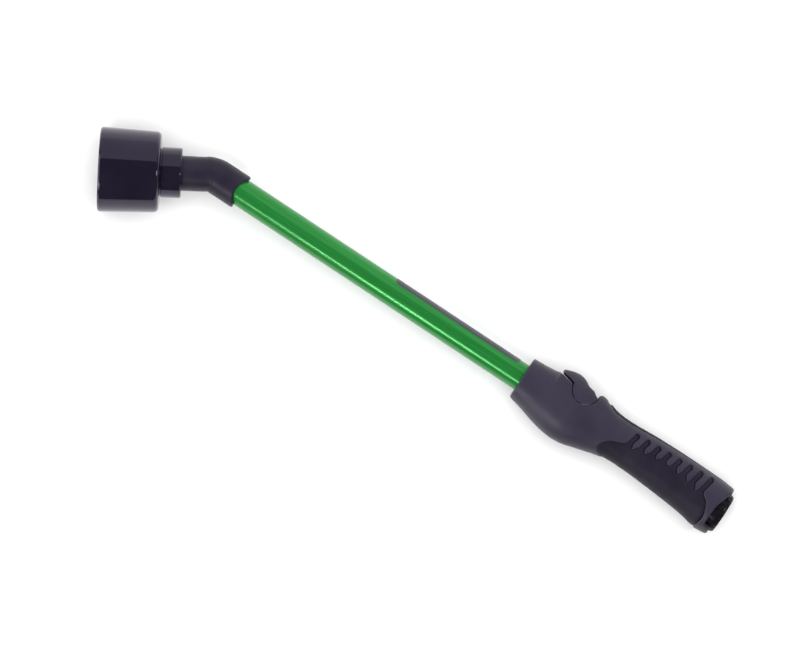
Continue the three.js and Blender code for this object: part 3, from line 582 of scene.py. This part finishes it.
# x, then how far the handle reaches towards the lever, towards the palm, and to each side
handleSections = np.array([
    [0, 16.8, 16.8, 16.8], [4, 17.0, 17.8, 17.0], [10, 17.35, 19.2, 17.4], [16, 17.95, 20.8, 17.9],
    [20, 18.5, 22.0, 18.2], [21, 18.85, 22.3, 18.3], [23, 23.4, 22.8, 18.45], [28, 25.9, 24.0, 18.8],
    [32, 26.6, 24.8, 19.0],
    [37, 26.75, 25.45, 19.05], [42, 26.0, 25.75, 19.05], [47, 24.6, 25.5, 18.8], [52, 23.4, 24.7, 18.4],
    [57, 22.3, 23.3, 17.8], [62, 21.6, 21.9, 17.1], [67, 19.9, 20.5, 16.5], [74, 18.0, 18.6, 15.9],
    [84, 17.3, 16.5, 15.4], [92, 17.5, 16.15, 15.4], [100, 18.0, 16.3, 15.6], [110, 18.5, 16.75, 16.0],
    [120, 18.75, 17.35, 16.4], [130, 18.9, 18.1, 16.85], [142, 18.9, 19.1, 17.4], [150, 18.8, 19.95, 17.8],
    [157, 18.65, 21.0, 18.3], [162, 18.55, 22.1, 18.75], [166, 18.45, 22.7, 19.05], [172, 18.0, 22.4, 19.2],
    [176.8, 17.3, 21.6, 19.1]])
sectionPower = 2.25


def smoothCurve(x, knots, values):
    # a smooth curve through the knots, without overshoot
    slopes = np.diff(values) / np.diff(knots)
    tangents = np.zeros(len(knots))
    for i in range(1, len(knots) - 1):
        if slopes[i - 1] * slopes[i] > 0:
            a, b = slopes[i - 1], slopes[i]
            tangents[i] = 2 * a * b / (a + b)
    tangents[0], tangents[-1] = slopes[0], slopes[-1]
    at = np.clip(np.searchsorted(knots, x, side="right") - 1, 0, len(knots) - 2)
    width = knots[at + 1] - knots[at]
    t = np.clip((x - knots[at]) / width, 0, 1)
    h00 = 2 * t ** 3 - 3 * t ** 2 + 1
    h10 = t ** 3 - 2 * t ** 2 + t
    h01 = -2 * t ** 3 + 3 * t ** 2
    h11 = t ** 3 - t ** 2
    return (h00 * values[at] + h10 * width * tangents[at] + h01 * values[at + 1]
            + h11 * width * tangents[at + 1])


def sectionSize(x):
    x = np.asarray(x, float)
    return [smoothCurve(x, handleSections[:, 0], handleSections[:, c]) for c in (1, 2, 3)]


def sectionPoint(x, angle, inset=0.0):
    # angle 0 is across to +z, 90 degrees is up to the lever
    top, bottom, half = sectionSize(x)
    c, s = np.cos(angle), np.sin(angle)
    side = np.sign(c) * np.abs(c) ** (2 / sectionPower)
    rise = np.sign(s) * np.abs(s) ** (2 / sectionPower)
    height = np.where(rise > 0, top - inset, bottom - inset)
    return height * rise, (half - inset) * side


def softLow(a, b, k):
    # the lower of two heights, with a rounded corner
    h = np.clip(0.5 + 0.5 * (b - a) / k, 0, 1)
    return b * (1 - h) + a * h - k * h * (1 - h)


def smoothStep(value, low, high):
    t = np.clip((value - low) / (high - low), 0, 1)
    return t * t * (3 - 2 * t)


def outlineDistance(px, py, outline):
    # signed distance to a closed outline in the side view, negative inside
    best = np.full(px.shape, 1e9)
    inside = np.zeros(px.shape, bool)
    count = len(outline)
    for i in range(count):
        ax, ay = outline[i]
        bx, by = outline[(i + 1) % count]
        ex, ey = bx - ax, by - ay
        length = ex * ex + ey * ey
        if length < 1e-12:
            continue
        t = np.clip(((px - ax) * ex + (py - ay) * ey) / length, 0, 1)
        best = np.minimum(best, np.hypot(px - ax - t * ex, py - ay - t * ey))
        crosses = ((ay > py) != (by > py)) & (px < ex * (py - ay) / (ey if ey else 1e-12) + ax)
        inside ^= crosses
    return np.where(inside, -best, best)


def curvePoints(start, control, end, steps=10):
    points = []
    for k in range(1, steps + 1):
        t = k / steps
        points.append(((1 - t) ** 2 * start[0] + 2 * t * (1 - t) * control[0] + t * t * end[0],
                       (1 - t) ** 2 * start[1] + 2 * t * (1 - t) * control[1] + t * t * end[1]))
    return points


gripSet = {
    "fingers": 8, "pitch": 9.03, "first": 94.9, "halfWidth": 2.25, "lean": 0.17,
    "recess": 0.95, "groove": 0.55, "grooveWidth": 0.6, "edge": 0.3,
}


def palmOutline():
    g = gripSet
    points = [(82.0, -40), (80.6, -17.0)]
    points += curvePoints(points[-1], (74.6, -14.6), (73.9, -11.6))
    points += curvePoints(points[-1], (74.6, -4.8), (84.6, -1.2))
    for i in range(g["fingers"]):
        x = g["first"] + g["pitch"] * i
        t = i / (g["fingers"] - 1)
        landing = 1.7 + 17.5 * t * (1 - t)
        tip = 12.7 + 3.5 * t - 0.5 * t * t
        half = g["halfWidth"]
        # each finger leans back towards the front as it goes down, and flares into the zone
        low = x - g["lean"] * (tip - landing)
        rootLeft = (low - half - 1.6, landing - 0.9)
        leftTop = (x - half, tip - half)
        points += [rootLeft] + curvePoints(rootLeft, (low - half + 0.5, landing + 0.5),
                                           (low - half + 0.35, landing + 2.6), 5)
        points += curvePoints(points[-1], ((low + x) / 2 - half, (landing + tip) / 2), leftTop, 4)
        for k in range(1, 12):
            a = math.pi - math.pi * k / 12
            points.append((x + half * math.cos(a), tip - half + half * 1.15 * math.sin(a)))
        rightTop = (x + half, tip - half)
        points.append(rightTop)
        rootRight = (low + half + 1.9, landing - 0.9)
        points += curvePoints(rightTop, ((low + x) / 2 + half, (landing + tip) / 2),
                              (low + half + 0.2, landing + 2.6), 4)
        points += curvePoints(points[-1], (low + half + 0.3, landing + 0.4), rootRight, 5)
    points += curvePoints(points[-1], (162.6, 0.4), (165.6, -6.0))
    points += curvePoints(points[-1], (169.3, -13.5), (166.6, -19.5))
    points += [(164.0, -40)]
    return points


stripSet = {"front": 65.4, "rear": 169.0, "frontHalf": 7.4, "rearHalf": 4.2, "groove": 0.75, "width": 0.5}


def stripOutline():
    s = stripSet
    f, r, fh, rh = s["front"], s["rear"], s["frontHalf"], s["rearHalf"]
    points = [(f, -fh * 0.45)]
    points += curvePoints(points[-1], (f + 1, -fh), (f + 7, -fh))
    points += [(r - 5, -rh)]
    points += curvePoints(points[-1], (r, -rh), (r, 0))
    points += curvePoints(points[-1], (r, rh), (r - 5, rh))
    points += [(f + 7, fh)]
    points += curvePoints(points[-1], (f + 1, fh), (f, fh * 0.45))
    return points


leverRoomSet = {
    "radius": 11.1, "rear": 55.8, "tabEnd": 34.0, "none": 99.0,
    "lip": [(20.9, 19.0), (23.9, 18.75), (27.7, 18.0), (31.1, 17.1), (33.9, 16.1)],
    "knob": [(54.0, 18.0), (54.9, 18.3), (55.4, 19.4), (56.1, 20.7), (57.3, 21.6), (59.2, 21.95),
             (61.2, 21.6), (62.8, 20.8), (64.2, 19.9), (65.8, 19.6), (67.0, 19.6)],
}


def roomFloor(x):
    # the lower edge of the room for the lever, seen from the side, or "none" where there is no room
    s = leverRoomSet
    lip = np.array(s["lip"])
    floor = np.interp(x, lip[:, 0], lip[:, 1], left=s["none"])
    circle = pivot["y"] - np.sqrt(np.maximum(0, s["radius"] ** 2 - (x - pivot["x"]) ** 2))
    inPocket = np.abs(x - pivot["x"]) < s["radius"]
    floor = np.where(inPocket, np.minimum(circle, np.where(x < s["tabEnd"], floor, s["none"])), floor)
    return np.where(x >= s["rear"], s["none"], floor)


def endPlane(y):
    # where the shell ends towards the hose: ears at the top and bottom, scoops at the sides
    edge = np.array([
        [-30, 176.8], [-19.2, 176.8], [-18.4, 176.4], [-17.6, 172.3], [-16.5, 171.4], [-13.0, 171.4],
        [-8.0, 171.3], [-2.0, 171.6], [3.0, 172.6], [8.5, 174.2], [11.8, 174.9], [12.8, 175.3],
        [13.4, 176.5], [14.0, 176.8], [30, 176.8]])
    return np.interp(y, edge[:, 0], edge[:, 1])


print("handle shell")

shellSet = {
    "around": 264, "from": 1.5, "to": 168.0, "step": 0.52, "frontHole": 11.1, "nutRoom": 16.55,
    "seamWidth": 0.22, "seamDepth": 0.22, "seamEnd": 66,
}


def shellRings():
    # evenly spaced, and closer together at the edges of the lever's room
    lipStart = leverRoomSet["lip"][0][0]
    pocketEnd = pivot["x"] + leverRoomSet["radius"]
    xs = list(np.arange(shellSet["from"], shellSet["to"], shellSet["step"]))
    xs += [lipStart - 0.03, lipStart + 0.03, pocketEnd - 0.12, pocketEnd - 0.02]
    for k in range(12):
        xs.append(pivot["x"] + leverRoomSet["radius"] * math.cos(math.radians(0.5 + k)))
    xs = sorted(xs)
    kept = [xs[0]]
    for x in xs[1:]:
        if x - kept[-1] > 0.02:
            kept.append(x)
    return np.array(kept)


def shellSurface():
    around = shellSet["around"]
    xs = shellRings()
    base = np.linspace(0, 2 * math.pi, around, endpoint=False)
    rows = []
    # front: the flat face and its rounded edge
    frontHole = shellSet["frontHole"]
    for x, inset, hole in ((3.0, None, frontHole), (0.15, None, frontHole), (0.0, None, frontHole + 0.2),
                           (0.0, 1.4, None), (0.12, 0.75, None), (0.5, 0.25, None), (1.0, 0.05, None)):
        if hole is not None:
            rows.append((np.full(around, x), hole * np.sin(base), hole * np.cos(base)))
        else:
            y, z = sectionPoint(np.full(around, x), base, inset)
            rows.append((np.full(around, x), y, z))
    palm = palmOutline()
    strip = stripOutline()
    knob = np.array(leverRoomSet["knob"])
    g = gripSet
    lead = len(rows)
    for x in xs:
        angles = base.copy()
        floor = float(roomFloor(np.array([x]))[0])
        if floor < leverRoomSet["none"]:
            top = float(sectionSize(x)[0])
            if floor < top:
                cross = math.asin(np.clip((floor / top) ** (sectionPower / 2), 0, 1))
                for target in (cross, math.pi - cross):
                    nearest = int(np.argmin(np.abs(angles - target)))
                    angles[nearest] = target
        y, z = sectionPoint(np.full(around, x), angles)
        if knob[0, 0] < x < knob[-1, 0]:
            crown = float(smoothCurve(np.array([x]), knob[:, 0], knob[:, 1])[0])
            y = np.where(y > 8, softLow(y, np.full(around, crown), 0.9), y)
        if floor < leverRoomSet["none"]:
            y = np.minimum(y, floor)
        rows.append((np.full(around, x), y, z))
    # last stretch: the rings lean onto the end's outline
    last = xs[-1]
    for share, inset in ((0.25, 0), (0.5, 0), (0.72, 0), (0.88, 0), (0.96, 0.12), (1.0, 0.55)):
        y, z = sectionPoint(np.full(around, 172.0), base)
        x = last + (endPlane(y) - last) * share
        y, z = sectionPoint(x, base, inset)
        rows.append((x, y, z))
    # the end's edge, and back inside along the room for the nut
    outerX, outerY, outerZ = rows[-1]
    dy, dz = outerY - inletSet["y"], outerZ
    shrink = shellSet["nutRoom"] / np.hypot(dy, dz)
    roomY, roomZ = inletSet["y"] + dy * shrink, dz * shrink
    deep = np.full(around, outerX.min() - 10.0)
    for x, share in ((outerX, 0.75), (outerX - 0.25, 1.0), (outerX - 4.0, 1.0), (deep, 1.0)):
        rows.append((x, outerY + (roomY - outerY) * share, outerZ + (roomZ - outerZ) * share))
    xGrid = np.array([row[0] for row in rows])
    yGrid = np.array([row[1] for row in rows])
    zGrid = np.array([row[2] for row in rows])

    # recesses and seams are pressed in along the section's own normal
    span = slice(lead, lead + len(xs) + 4)
    px, py, pz = xGrid[span], yGrid[span], zGrid[span]
    top, bottom, half = sectionSize(px)
    height = np.where(py > 0, top, bottom)
    ny = np.sign(py) * (np.abs(py) / height) ** (sectionPower - 1) / height
    nz = np.sign(pz) * (np.abs(pz) / half) ** (sectionPower - 1) / half
    norm = np.hypot(ny, nz) + 1e-12
    ny, nz = ny / norm, nz / norm
    palmDistance = outlineDistance(px, py, palm)
    stripDistance = np.where(py > 5, outlineDistance(px, pz, strip), 50.0)
    floors = roomFloor(px)
    inRoom = py >= floors - 0.02
    # the soft zone dips most along the edges that face the hose end and the strip
    stepX = outlineDistance(px + 0.2, py, palm) - palmDistance
    stepY = outlineDistance(px, py + 0.2, palm) - palmDistance
    facing = smoothStep((0.85 * stepX + 0.52 * stepY) / 0.2, -0.35, 0.65)
    near = np.exp(-(np.minimum(palmDistance, 0) / 2.2) ** 2)
    depth = g["recess"] * (1 - smoothStep(palmDistance, -g["edge"], 0.02)) * (0.45 + 0.55 * facing * near)
    dip = np.exp(-((np.minimum(palmDistance, 0) + 0.15) / g["grooveWidth"]) ** 2) * (palmDistance < 0.15)
    depth = depth + g["groove"] * (0.12 + 0.88 * facing) * dip
    depth = depth + stripSet["groove"] * np.exp(-(stripDistance / stripSet["width"]) ** 4)
    # the seam between the two shells runs all along the palm's side, and in front of the back pad
    seam = np.exp(-(pz / shellSet["seamWidth"]) ** 4) * ((py < 0) | (px < shellSet["seamEnd"]))
    depth = depth + shellSet["seamDepth"] * seam * (palmDistance > 0)
    # nothing is pressed in on the floor of the lever's room
    depth = np.where(inRoom, 0.0, depth)
    yGrid[span] = py - ny * depth
    zGrid[span] = pz - nz * depth
    zone = np.zeros(xGrid.shape)
    zone[span] = np.where(palmDistance < -0.1, 1, np.where(stripDistance < 0, 2, 0))
    return xGrid, yGrid, zGrid, zone


def buildHandle():
    xGrid, yGrid, zGrid, zone = shellSurface()
    rowsCount, around = xGrid.shape
    points = np.stack([xGrid, yGrid, zGrid], axis=-1).reshape(-1, 3)
    marks = zone.reshape(-1)
    names = ("shell", "palm", "strip")
    sets = {name: [] for name in names}
    for face in ringFaces(ringPairs(rowsCount, closed=False), around):
        # a face is soft only when all four of its corners are
        low = min(marks[v] for v in face)
        high = max(marks[v] for v in face)
        sets[names[int(low)] if low == high else "shell"].append(face)
    made = {}
    for part, faces in sets.items():
        used = sorted({v for face in faces for v in face})
        place = {v: n for n, v in enumerate(used)}
        made[part] = ([tuple(points[v]) for v in used], [tuple(place[v] for v in face) for face in faces])
    return made


handleParts = buildHandle()


def skinObject(name, part, material, thick):
    vertices, faces = handleParts[part]
    obj = rawObject(name, vertices, faces, material)
    work = bmesh.new()
    work.from_mesh(obj.data)
    bmesh.ops.recalc_face_normals(work, faces=work.faces)
    # the highest face has to look up
    probe = max(work.faces, key=lambda f: f.calc_center_median().z)
    if probe.normal.z < 0:
        bmesh.ops.reverse_faces(work, faces=work.faces)
    work.to_mesh(obj.data)
    work.free()
    solid = obj.modifiers.new("thickness", "SOLIDIFY")
    solid.thickness = thick
    solid.offset = -1
    solid.use_rim = True
    return obj


shellPiece = skinObject("handle_housing", "shell", handlePlastic, 0.0009)
palmPiece = skinObject("palm_pad", "palm", softGrip, 0.0007)
stripPiece = skinObject("back_pad", "strip", softGrip, 0.0007)
for piece in (shellPiece, palmPiece, stripPiece):
    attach(piece, "handle")
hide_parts("handle_shell_left", "handle_shell_right")
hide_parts("palm_grip")
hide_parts("back_strip")

print("thumb lever")

leverSet = {
    "hub": 10.5,
    "top": [(23.3, 22.2), (23.5, 22.6), (24.2, 22.95), (26.6, 23.85), (29.9, 25.0), (33.0, 25.75),
            (35.2, 25.9), (37.6, 25.6), (40.2, 24.75), (42.0, 23.9), (43.6, 22.85), (45.2, 22.0),
            (47.2, 21.45), (49.4, 21.1), (51.2, 20.3), (52.8, 19.1), (54.2, 18.3), (55.1, 17.8)],
    "under": [(23.3, 20.3), (25.0, 20.2), (28.5, 19.75), (31.5, 19.1), (33.9, 18.2)],
    "along": 130, "across": 96, "round": 0.6, "thinnest": 0.3,
    "dishFrom": 26, "dishTo": 44, "dish": 0.35, "dishWidth": 7.0, "web": (8.2, 8.9), "webEnd": 36,
    "slotTip": 2.35, "slotHalf": 3.9, "slotReach": 14, "slot": (4.2, 7.8), "travel": math.radians(56),
    "camHalf": 4.25, "camDrop": 3.0, "pinRadius": 1.35, "pinEnd": 12.4,
}


def leverMesh():
    s = leverSet
    top = np.array(s["top"])
    under = np.array(s["under"])
    first, last = top[0, 0], pivot["x"] + s["hub"] - 0.02
    t = np.linspace(0, 1, s["along"])
    xs = first + (last - first) * t
    # closer together where the hub turns under, at both of its sides
    hubLeft = pivot["x"] - s["hub"]
    fine = [hubLeft + s["hub"] * (1 - math.cos(a)) for a in np.linspace(0.05, 0.7, 10)]
    fine += [pivot["x"] + s["hub"] * math.cos(a) for a in np.linspace(0.05, 0.7, 14)]
    xs = np.unique(np.concatenate([xs, fine]))
    rows = []
    across = s["across"]
    for x in xs:
        high = float(smoothCurve(np.array([x]), top[:, 0], top[:, 1])[0])
        reach = s["hub"] ** 2 - (x - pivot["x"]) ** 2
        low = float(np.interp(x, under[:, 0], under[:, 1]))
        if reach > 0:
            hubLow = pivot["y"] - math.sqrt(reach)
            low = min(low, hubLow) if x < leverRoomSet["tabEnd"] else hubLow
        low = min(low, high - s["thinnest"])
        sectionTop, sectionBottom = [float(v) for v in sectionSize(x)[:2]]
        reachOfSection = max(sectionTop, 19.5) if low > 0 else sectionBottom
        angle = math.asin(np.clip(abs(low) / reachOfSection, 0, 1) ** (sectionPower / 2))
        angle = angle if low > 0 else -angle
        sweep = np.linspace(angle, math.pi - angle, across)
        y, z = sectionPoint(np.full(across, x), sweep, 0.05)
        y = softLow(y, np.full(across, high), s["round"])
        y = np.maximum(y, low)
        # the thumb rest is dished across its width
        if s["dishFrom"] < x < s["dishTo"]:
            dish = s["dish"] * math.sin(math.pi * (x - s["dishFrom"]) / (s["dishTo"] - s["dishFrom"]))
            y = y - dish * np.exp(-(z / s["dishWidth"]) ** 2) * (y > high - 2)
        floorZ = np.linspace(z[-1], z[0], 42)[1:-1]
        # a web under the middle of the tab closes the gap to the housing
        floor = float(roomFloor(np.array([max(x, 24.0)]))[0]) + 0.45
        web = (low - floor) * (1 - smoothStep(np.abs(floorZ), *s["web"]))
        web = web * float(x < s["webEnd"] and floor < low)
        web = web * float(smoothStep(np.array([x]), 23.9, 24.3)[0])
        y = np.concatenate([y, low - web])
        z = np.concatenate([z, floorZ])
        rows.append(np.stack([np.full(len(y), x), y, z], axis=-1))
    points = np.array(rows)
    rowsCount, ring = points.shape[:2]
    faces = ringFaces(ringPairs(rowsCount, closed=False), ring)
    for base in (0, (rowsCount - 1) * ring):
        faces.append(tuple(range(base, base + ring)))
    return [tuple(p) for p in points.reshape(-1, 3)], faces


def prismCutter(name, outline, zFrom, zTo):
    vertices = [(x, y, zFrom) for x, y in outline] + [(x, y, zTo) for x, y in outline]
    count = len(outline)
    faces = [tuple(range(count)), tuple(range(count, 2 * count))]
    faces += [(k, (k + 1) % count, count + (k + 1) % count, count + k) for k in range(count)]
    return meshObject(name, vertices, faces, handlePlastic, smooth=False)


def cutAway(obj, cutters):
    for cutter in cutters:
        step = obj.modifiers.new("cut", "BOOLEAN")
        step.operation = "DIFFERENCE"
        step.solver = "EXACT"
        step.object = cutter
    applyModifiers(obj)
    for cutter in cutters:
        bpy.data.objects.remove(cutter, do_unlink=True)


def applyModifiers(obj):
    graph = bpy.context.evaluated_depsgraph_get()
    graph.update()
    fresh = bpy.data.meshes.new_from_object(obj.evaluated_get(graph), depsgraph=graph)
    old = obj.data
    obj.modifiers.clear()
    obj.data = fresh
    bpy.data.meshes.remove(old)


def leverCutters():
    # slots for the two lugs, the relief round the cam, and the hole for the pin
    s = leverSet
    px, py = pivot["x"], pivot["y"]
    tip, half, reach, travel = s["slotTip"], s["slotHalf"], s["slotReach"], s["travel"]
    c, t = math.cos(travel), math.sin(travel)

    def onCircle(radius, angle):
        return px + radius * math.cos(angle), py + radius * math.sin(angle)

    slotLine = [(px - tip, py), (px - half, py - reach), (px + 0.5 * reach, py - reach),
                (px + half * c + reach * t, py + half * t - reach * c)]
    slotLine += [onCircle(tip, travel + (math.pi - travel) * k / 12) for k in range(13)]
    relief = []
    for k in range(25):
        turned = (math.pi / 2 - 0.12) * k / 24
        radius = s["hub"] - s["camDrop"] * min(1, turned / math.radians(55))
        relief.append(onCircle(radius, turned - math.pi / 2))
    relief += [(px + reach, py - 1.5), (px + reach, py - reach), (px, py - reach)]
    pin = [onCircle(s["pinRadius"], 2 * math.pi * k / 40) for k in range(40)]
    near, far = s["slot"]
    return [prismCutter("slotRight", slotLine, near, far), prismCutter("slotLeft", slotLine, -far, -near),
            prismCutter("relief", relief, -s["camHalf"], s["camHalf"]),
            prismCutter("pinHole", pin, -30, s["pinEnd"])]


leverVertices, leverFaces = leverMesh()
leverPiece = meshObject("lever_moulding", leverVertices, leverFaces, handlePlastic)
cutAway(leverPiece, leverCutters())
sharpenEdges(leverPiece, 38)
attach(leverPiece, "lever")
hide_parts("thumb_lever")

print("hose nut")

nutSet = {
    "from": 163.3, "to": 180.25, "radius": 15.95, "bore": 13.2, "throat": 8.35, "floor": 2.4, "sides": 400,
    "ribs": 20, "depth": 0.8, "valleyAt": 0.78, "valleyWidth": 0.10, "endLength": 5.0, "endDrop": 2.2,
    "threadPitch": 2.2, "threadHeight": 0.55, "threadEnd": 7.0, "threadTurns": 4,
}


def nutMesh():
    s = nutSet
    sides = s["sides"]
    angles = 2 * np.pi * np.arange(sides) / sides
    phase = (angles * s["ribs"] / (2 * np.pi)) % 1.0
    # broad ribs with narrow rounded valleys between them
    valley = np.exp(-(np.abs(phase - s["valleyAt"]) / s["valleyWidth"]) ** 4)
    rows = []

    def ring(x, radius, ribbed=0):
        r = radius - s["depth"] * valley * ribbed
        y = inletSet["y"] + r * np.cos(angles)
        rows.append(np.stack([np.full(sides, x), y, r * np.sin(angles)], -1))

    ring(s["from"], s["throat"])
    ring(s["from"], s["radius"] - 1.0, 0.3)
    ring(s["from"] + 0.3, s["radius"] - 0.3, 0.9)
    ring(s["from"] + 1.0, s["radius"], 1)
    # the ribs run out into a rounded end
    for k in range(9):
        a = math.radians(11.25 * k)
        drop = s["endDrop"] * (1 - math.cos(a))
        x = s["to"] - s["endLength"] * (1 - math.sin(a))
        ring(x, s["radius"] - drop, 1 - 0.1 * k if k < 8 else 0)
    ring(s["to"], s["bore"] + 0.35)
    ring(s["to"] - 0.5, s["bore"])
    # a cut thread inside: rounded crests along the bore
    for k in range(s["threadTurns"] * 10 + 1):
        x = s["to"] - 0.6 - k * s["threadPitch"] / 10
        wave = 0.5 - 0.5 * math.cos(2 * math.pi * k / 10)
        if x > s["from"] + s["threadEnd"]:
            ring(x, s["bore"] + s["threadHeight"] * wave)
    ring(s["from"] + s["floor"], s["bore"])
    ring(s["from"] + s["floor"], s["throat"])
    return [tuple(p) for p in np.array(rows).reshape(-1, 3)], ringFaces(ringPairs(len(rows)), sides)


nutVertices, nutFaces = nutMesh()
nutPiece = meshObject("hose_nut", nutVertices, nutFaces, nutBlack)
sharpenEdges(nutPiece, 45)
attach(nutPiece, "nut")
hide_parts("swivel_nut")

print("valve spring")

springSet = {"radius": 4.4, "wire": 0.4, "turns": 4.5, "bottom": -16.55, "top": -12.75,
             "sides": 10, "steps": 40}


def springMesh():
    s = springSet
    sides = s["sides"]
    steps = int(s["turns"] * s["steps"])
    vertices = []
    for i in range(steps + 1):
        t = i / steps
        a = 2 * math.pi * s["turns"] * t
        y = s["bottom"] + (s["top"] - s["bottom"]) * t
        for k in range(sides):
            b = 2 * math.pi * k / sides
            r = s["radius"] + s["wire"] * math.cos(b)
            vertices.append((pivot["x"] + r * math.cos(a), y + s["wire"] * math.sin(b), r * math.sin(a)))
    faces = ringFaces(ringPairs(steps + 1, closed=False), sides)
    for base in (0, steps * sides):
        faces.append(tuple(range(base, base + sides)))
    return vertices, faces


springVertices, springFaces = springMesh()
springPiece = meshObject("return_spring", springVertices, springFaces, springSteel)
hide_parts("valve_spring")
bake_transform(springPiece)

print("floor, light and camera")

stageSet = {
    "floor": (0.88, 0.88, 0.885), "size": 9.0, "floorGap": 0.0003, "world": 0.10,
    "worldColor": (1.0, 0.97, 1.0),
    "distance": 5.5, "lens": 334.5, "centreX": -94.5, "centreY": -20.6, "turn": 33.4,
    # each light: direction in the wand's axes, distance, size, watts, and what it lights
    "lights": {
        "ceiling": ((0, 0, 1), 2.6, (3.0, 3.0), 100, "diffuse"),
        "wall": ((-0.55, 0.835, 0.52), 2.1, (5.0, 2.6), 36, "both"),
        "strip": ((0.0, -0.77, 0.64), 1.6, (0.5, 0.10), 7.0, "both"),
        "rightSpot": ((0.80, 0.47, 0.62), 1.8, (0.30, 0.30), 6.0, "both"),
        "leftPanel": ((-0.835, -0.55, 0.27), 2.0, (2.4, 0.9), 20, "glossy"),
        "leftSpot": ((-0.43, -0.835, 0.34), 1.8, (0.5, 0.25), 6.0, "glossy"),
    },
}


def buildFloor():
    mesh = bpy.data.meshes.new("floor")
    cells = 8
    marks = [stageSet["size"] * (k / cells - 0.5) for k in range(cells + 1)]
    vertices = [(x, y, 0) for x in marks for y in marks]
    row = cells + 1
    faces = [(i * row + k, (i + 1) * row + k, (i + 1) * row + k + 1, i * row + k + 1)
             for i in range(cells) for k in range(cells)]
    mesh.from_pydata(vertices, [], faces)
    floor = bpy.data.objects.new("floor", mesh)
    bpy.context.scene.collection.objects.link(floor)
    brighter = tuple(c * 1.01 for c in stageSet["floor"])
    material = variedFinish("paleFloor", stageSet["floor"], brighter, 0.7, 0.8, 3, bumpStrength=0)
    mesh.materials.append(material)
    floor.location.z = -stageSet["floorGap"]


def addLight(name):
    direction, distance, size, power, lit = stageSet["lights"][name]
    data = bpy.data.lights.new(name, "AREA")
    data.shape = "RECTANGLE"
    data.size, data.size_y = size
    data.energy = power
    light = bpy.data.objects.new(name, data)
    bpy.context.scene.collection.objects.link(light)
    target = wandPoint(stageSet["centreX"], stageSet["centreY"], 0)
    away = (alongTube * direction[0] + toLever * direction[1] + acrossHandle * direction[2]).normalized()
    place = target + away * distance
    # the light's long side lies level, and that of the strip lies along the tube
    side = away.cross(Vector((0, 0, 1)))
    side = alongTube.copy() if side.length < 0.05 or name == "strip" else side.normalized()
    up = away.cross(side).normalized()
    light.matrix_world = Matrix((
        (side.x, up.x, away.x, place.x), (side.y, up.y, away.y, place.y),
        (side.z, up.z, away.z, place.z), (0, 0, 0, 1)))
    light.visible_glossy = lit != "diffuse"
    light.visible_diffuse = lit != "glossy"
    light.visible_camera = False


def buildCamera():
    s = stageSet
    turn = math.radians(s["turn"])
    screenRight = alongTube * math.cos(turn) + toLever * math.sin(turn)
    screenUp = -alongTube * math.sin(turn) + toLever * math.cos(turn)
    towards = acrossHandle
    centre = wandPoint(s["centreX"], s["centreY"], 0)
    place = centre + towards * s["distance"]
    data = bpy.data.cameras.new("camera")
    data.sensor_width = 36
    data.lens = s["lens"]
    data.clip_end = 20
    camera = bpy.data.objects.new("camera", data)
    camera.matrix_world = Matrix((
        (screenRight.x, screenUp.x, towards.x, place.x),
        (screenRight.y, screenUp.y, towards.y, place.y),
        (screenRight.z, screenUp.z, towards.z, place.z),
        (0, 0, 0, 1)))
    bpy.context.scene.collection.objects.link(camera)
    bpy.context.scene.camera = camera


buildFloor()
world = bpy.data.worlds.new("studio")
world.use_nodes = True
world.node_tree.nodes["Background"].inputs["Color"].default_value = (*stageSet["worldColor"], 1)
world.node_tree.nodes["Background"].inputs["Strength"].default_value = stageSet["world"]
bpy.context.scene.world = world
for lightName in stageSet["lights"]:
    addLight(lightName)
buildCamera()
bpy.context.scene.view_settings.view_transform = "Standard"
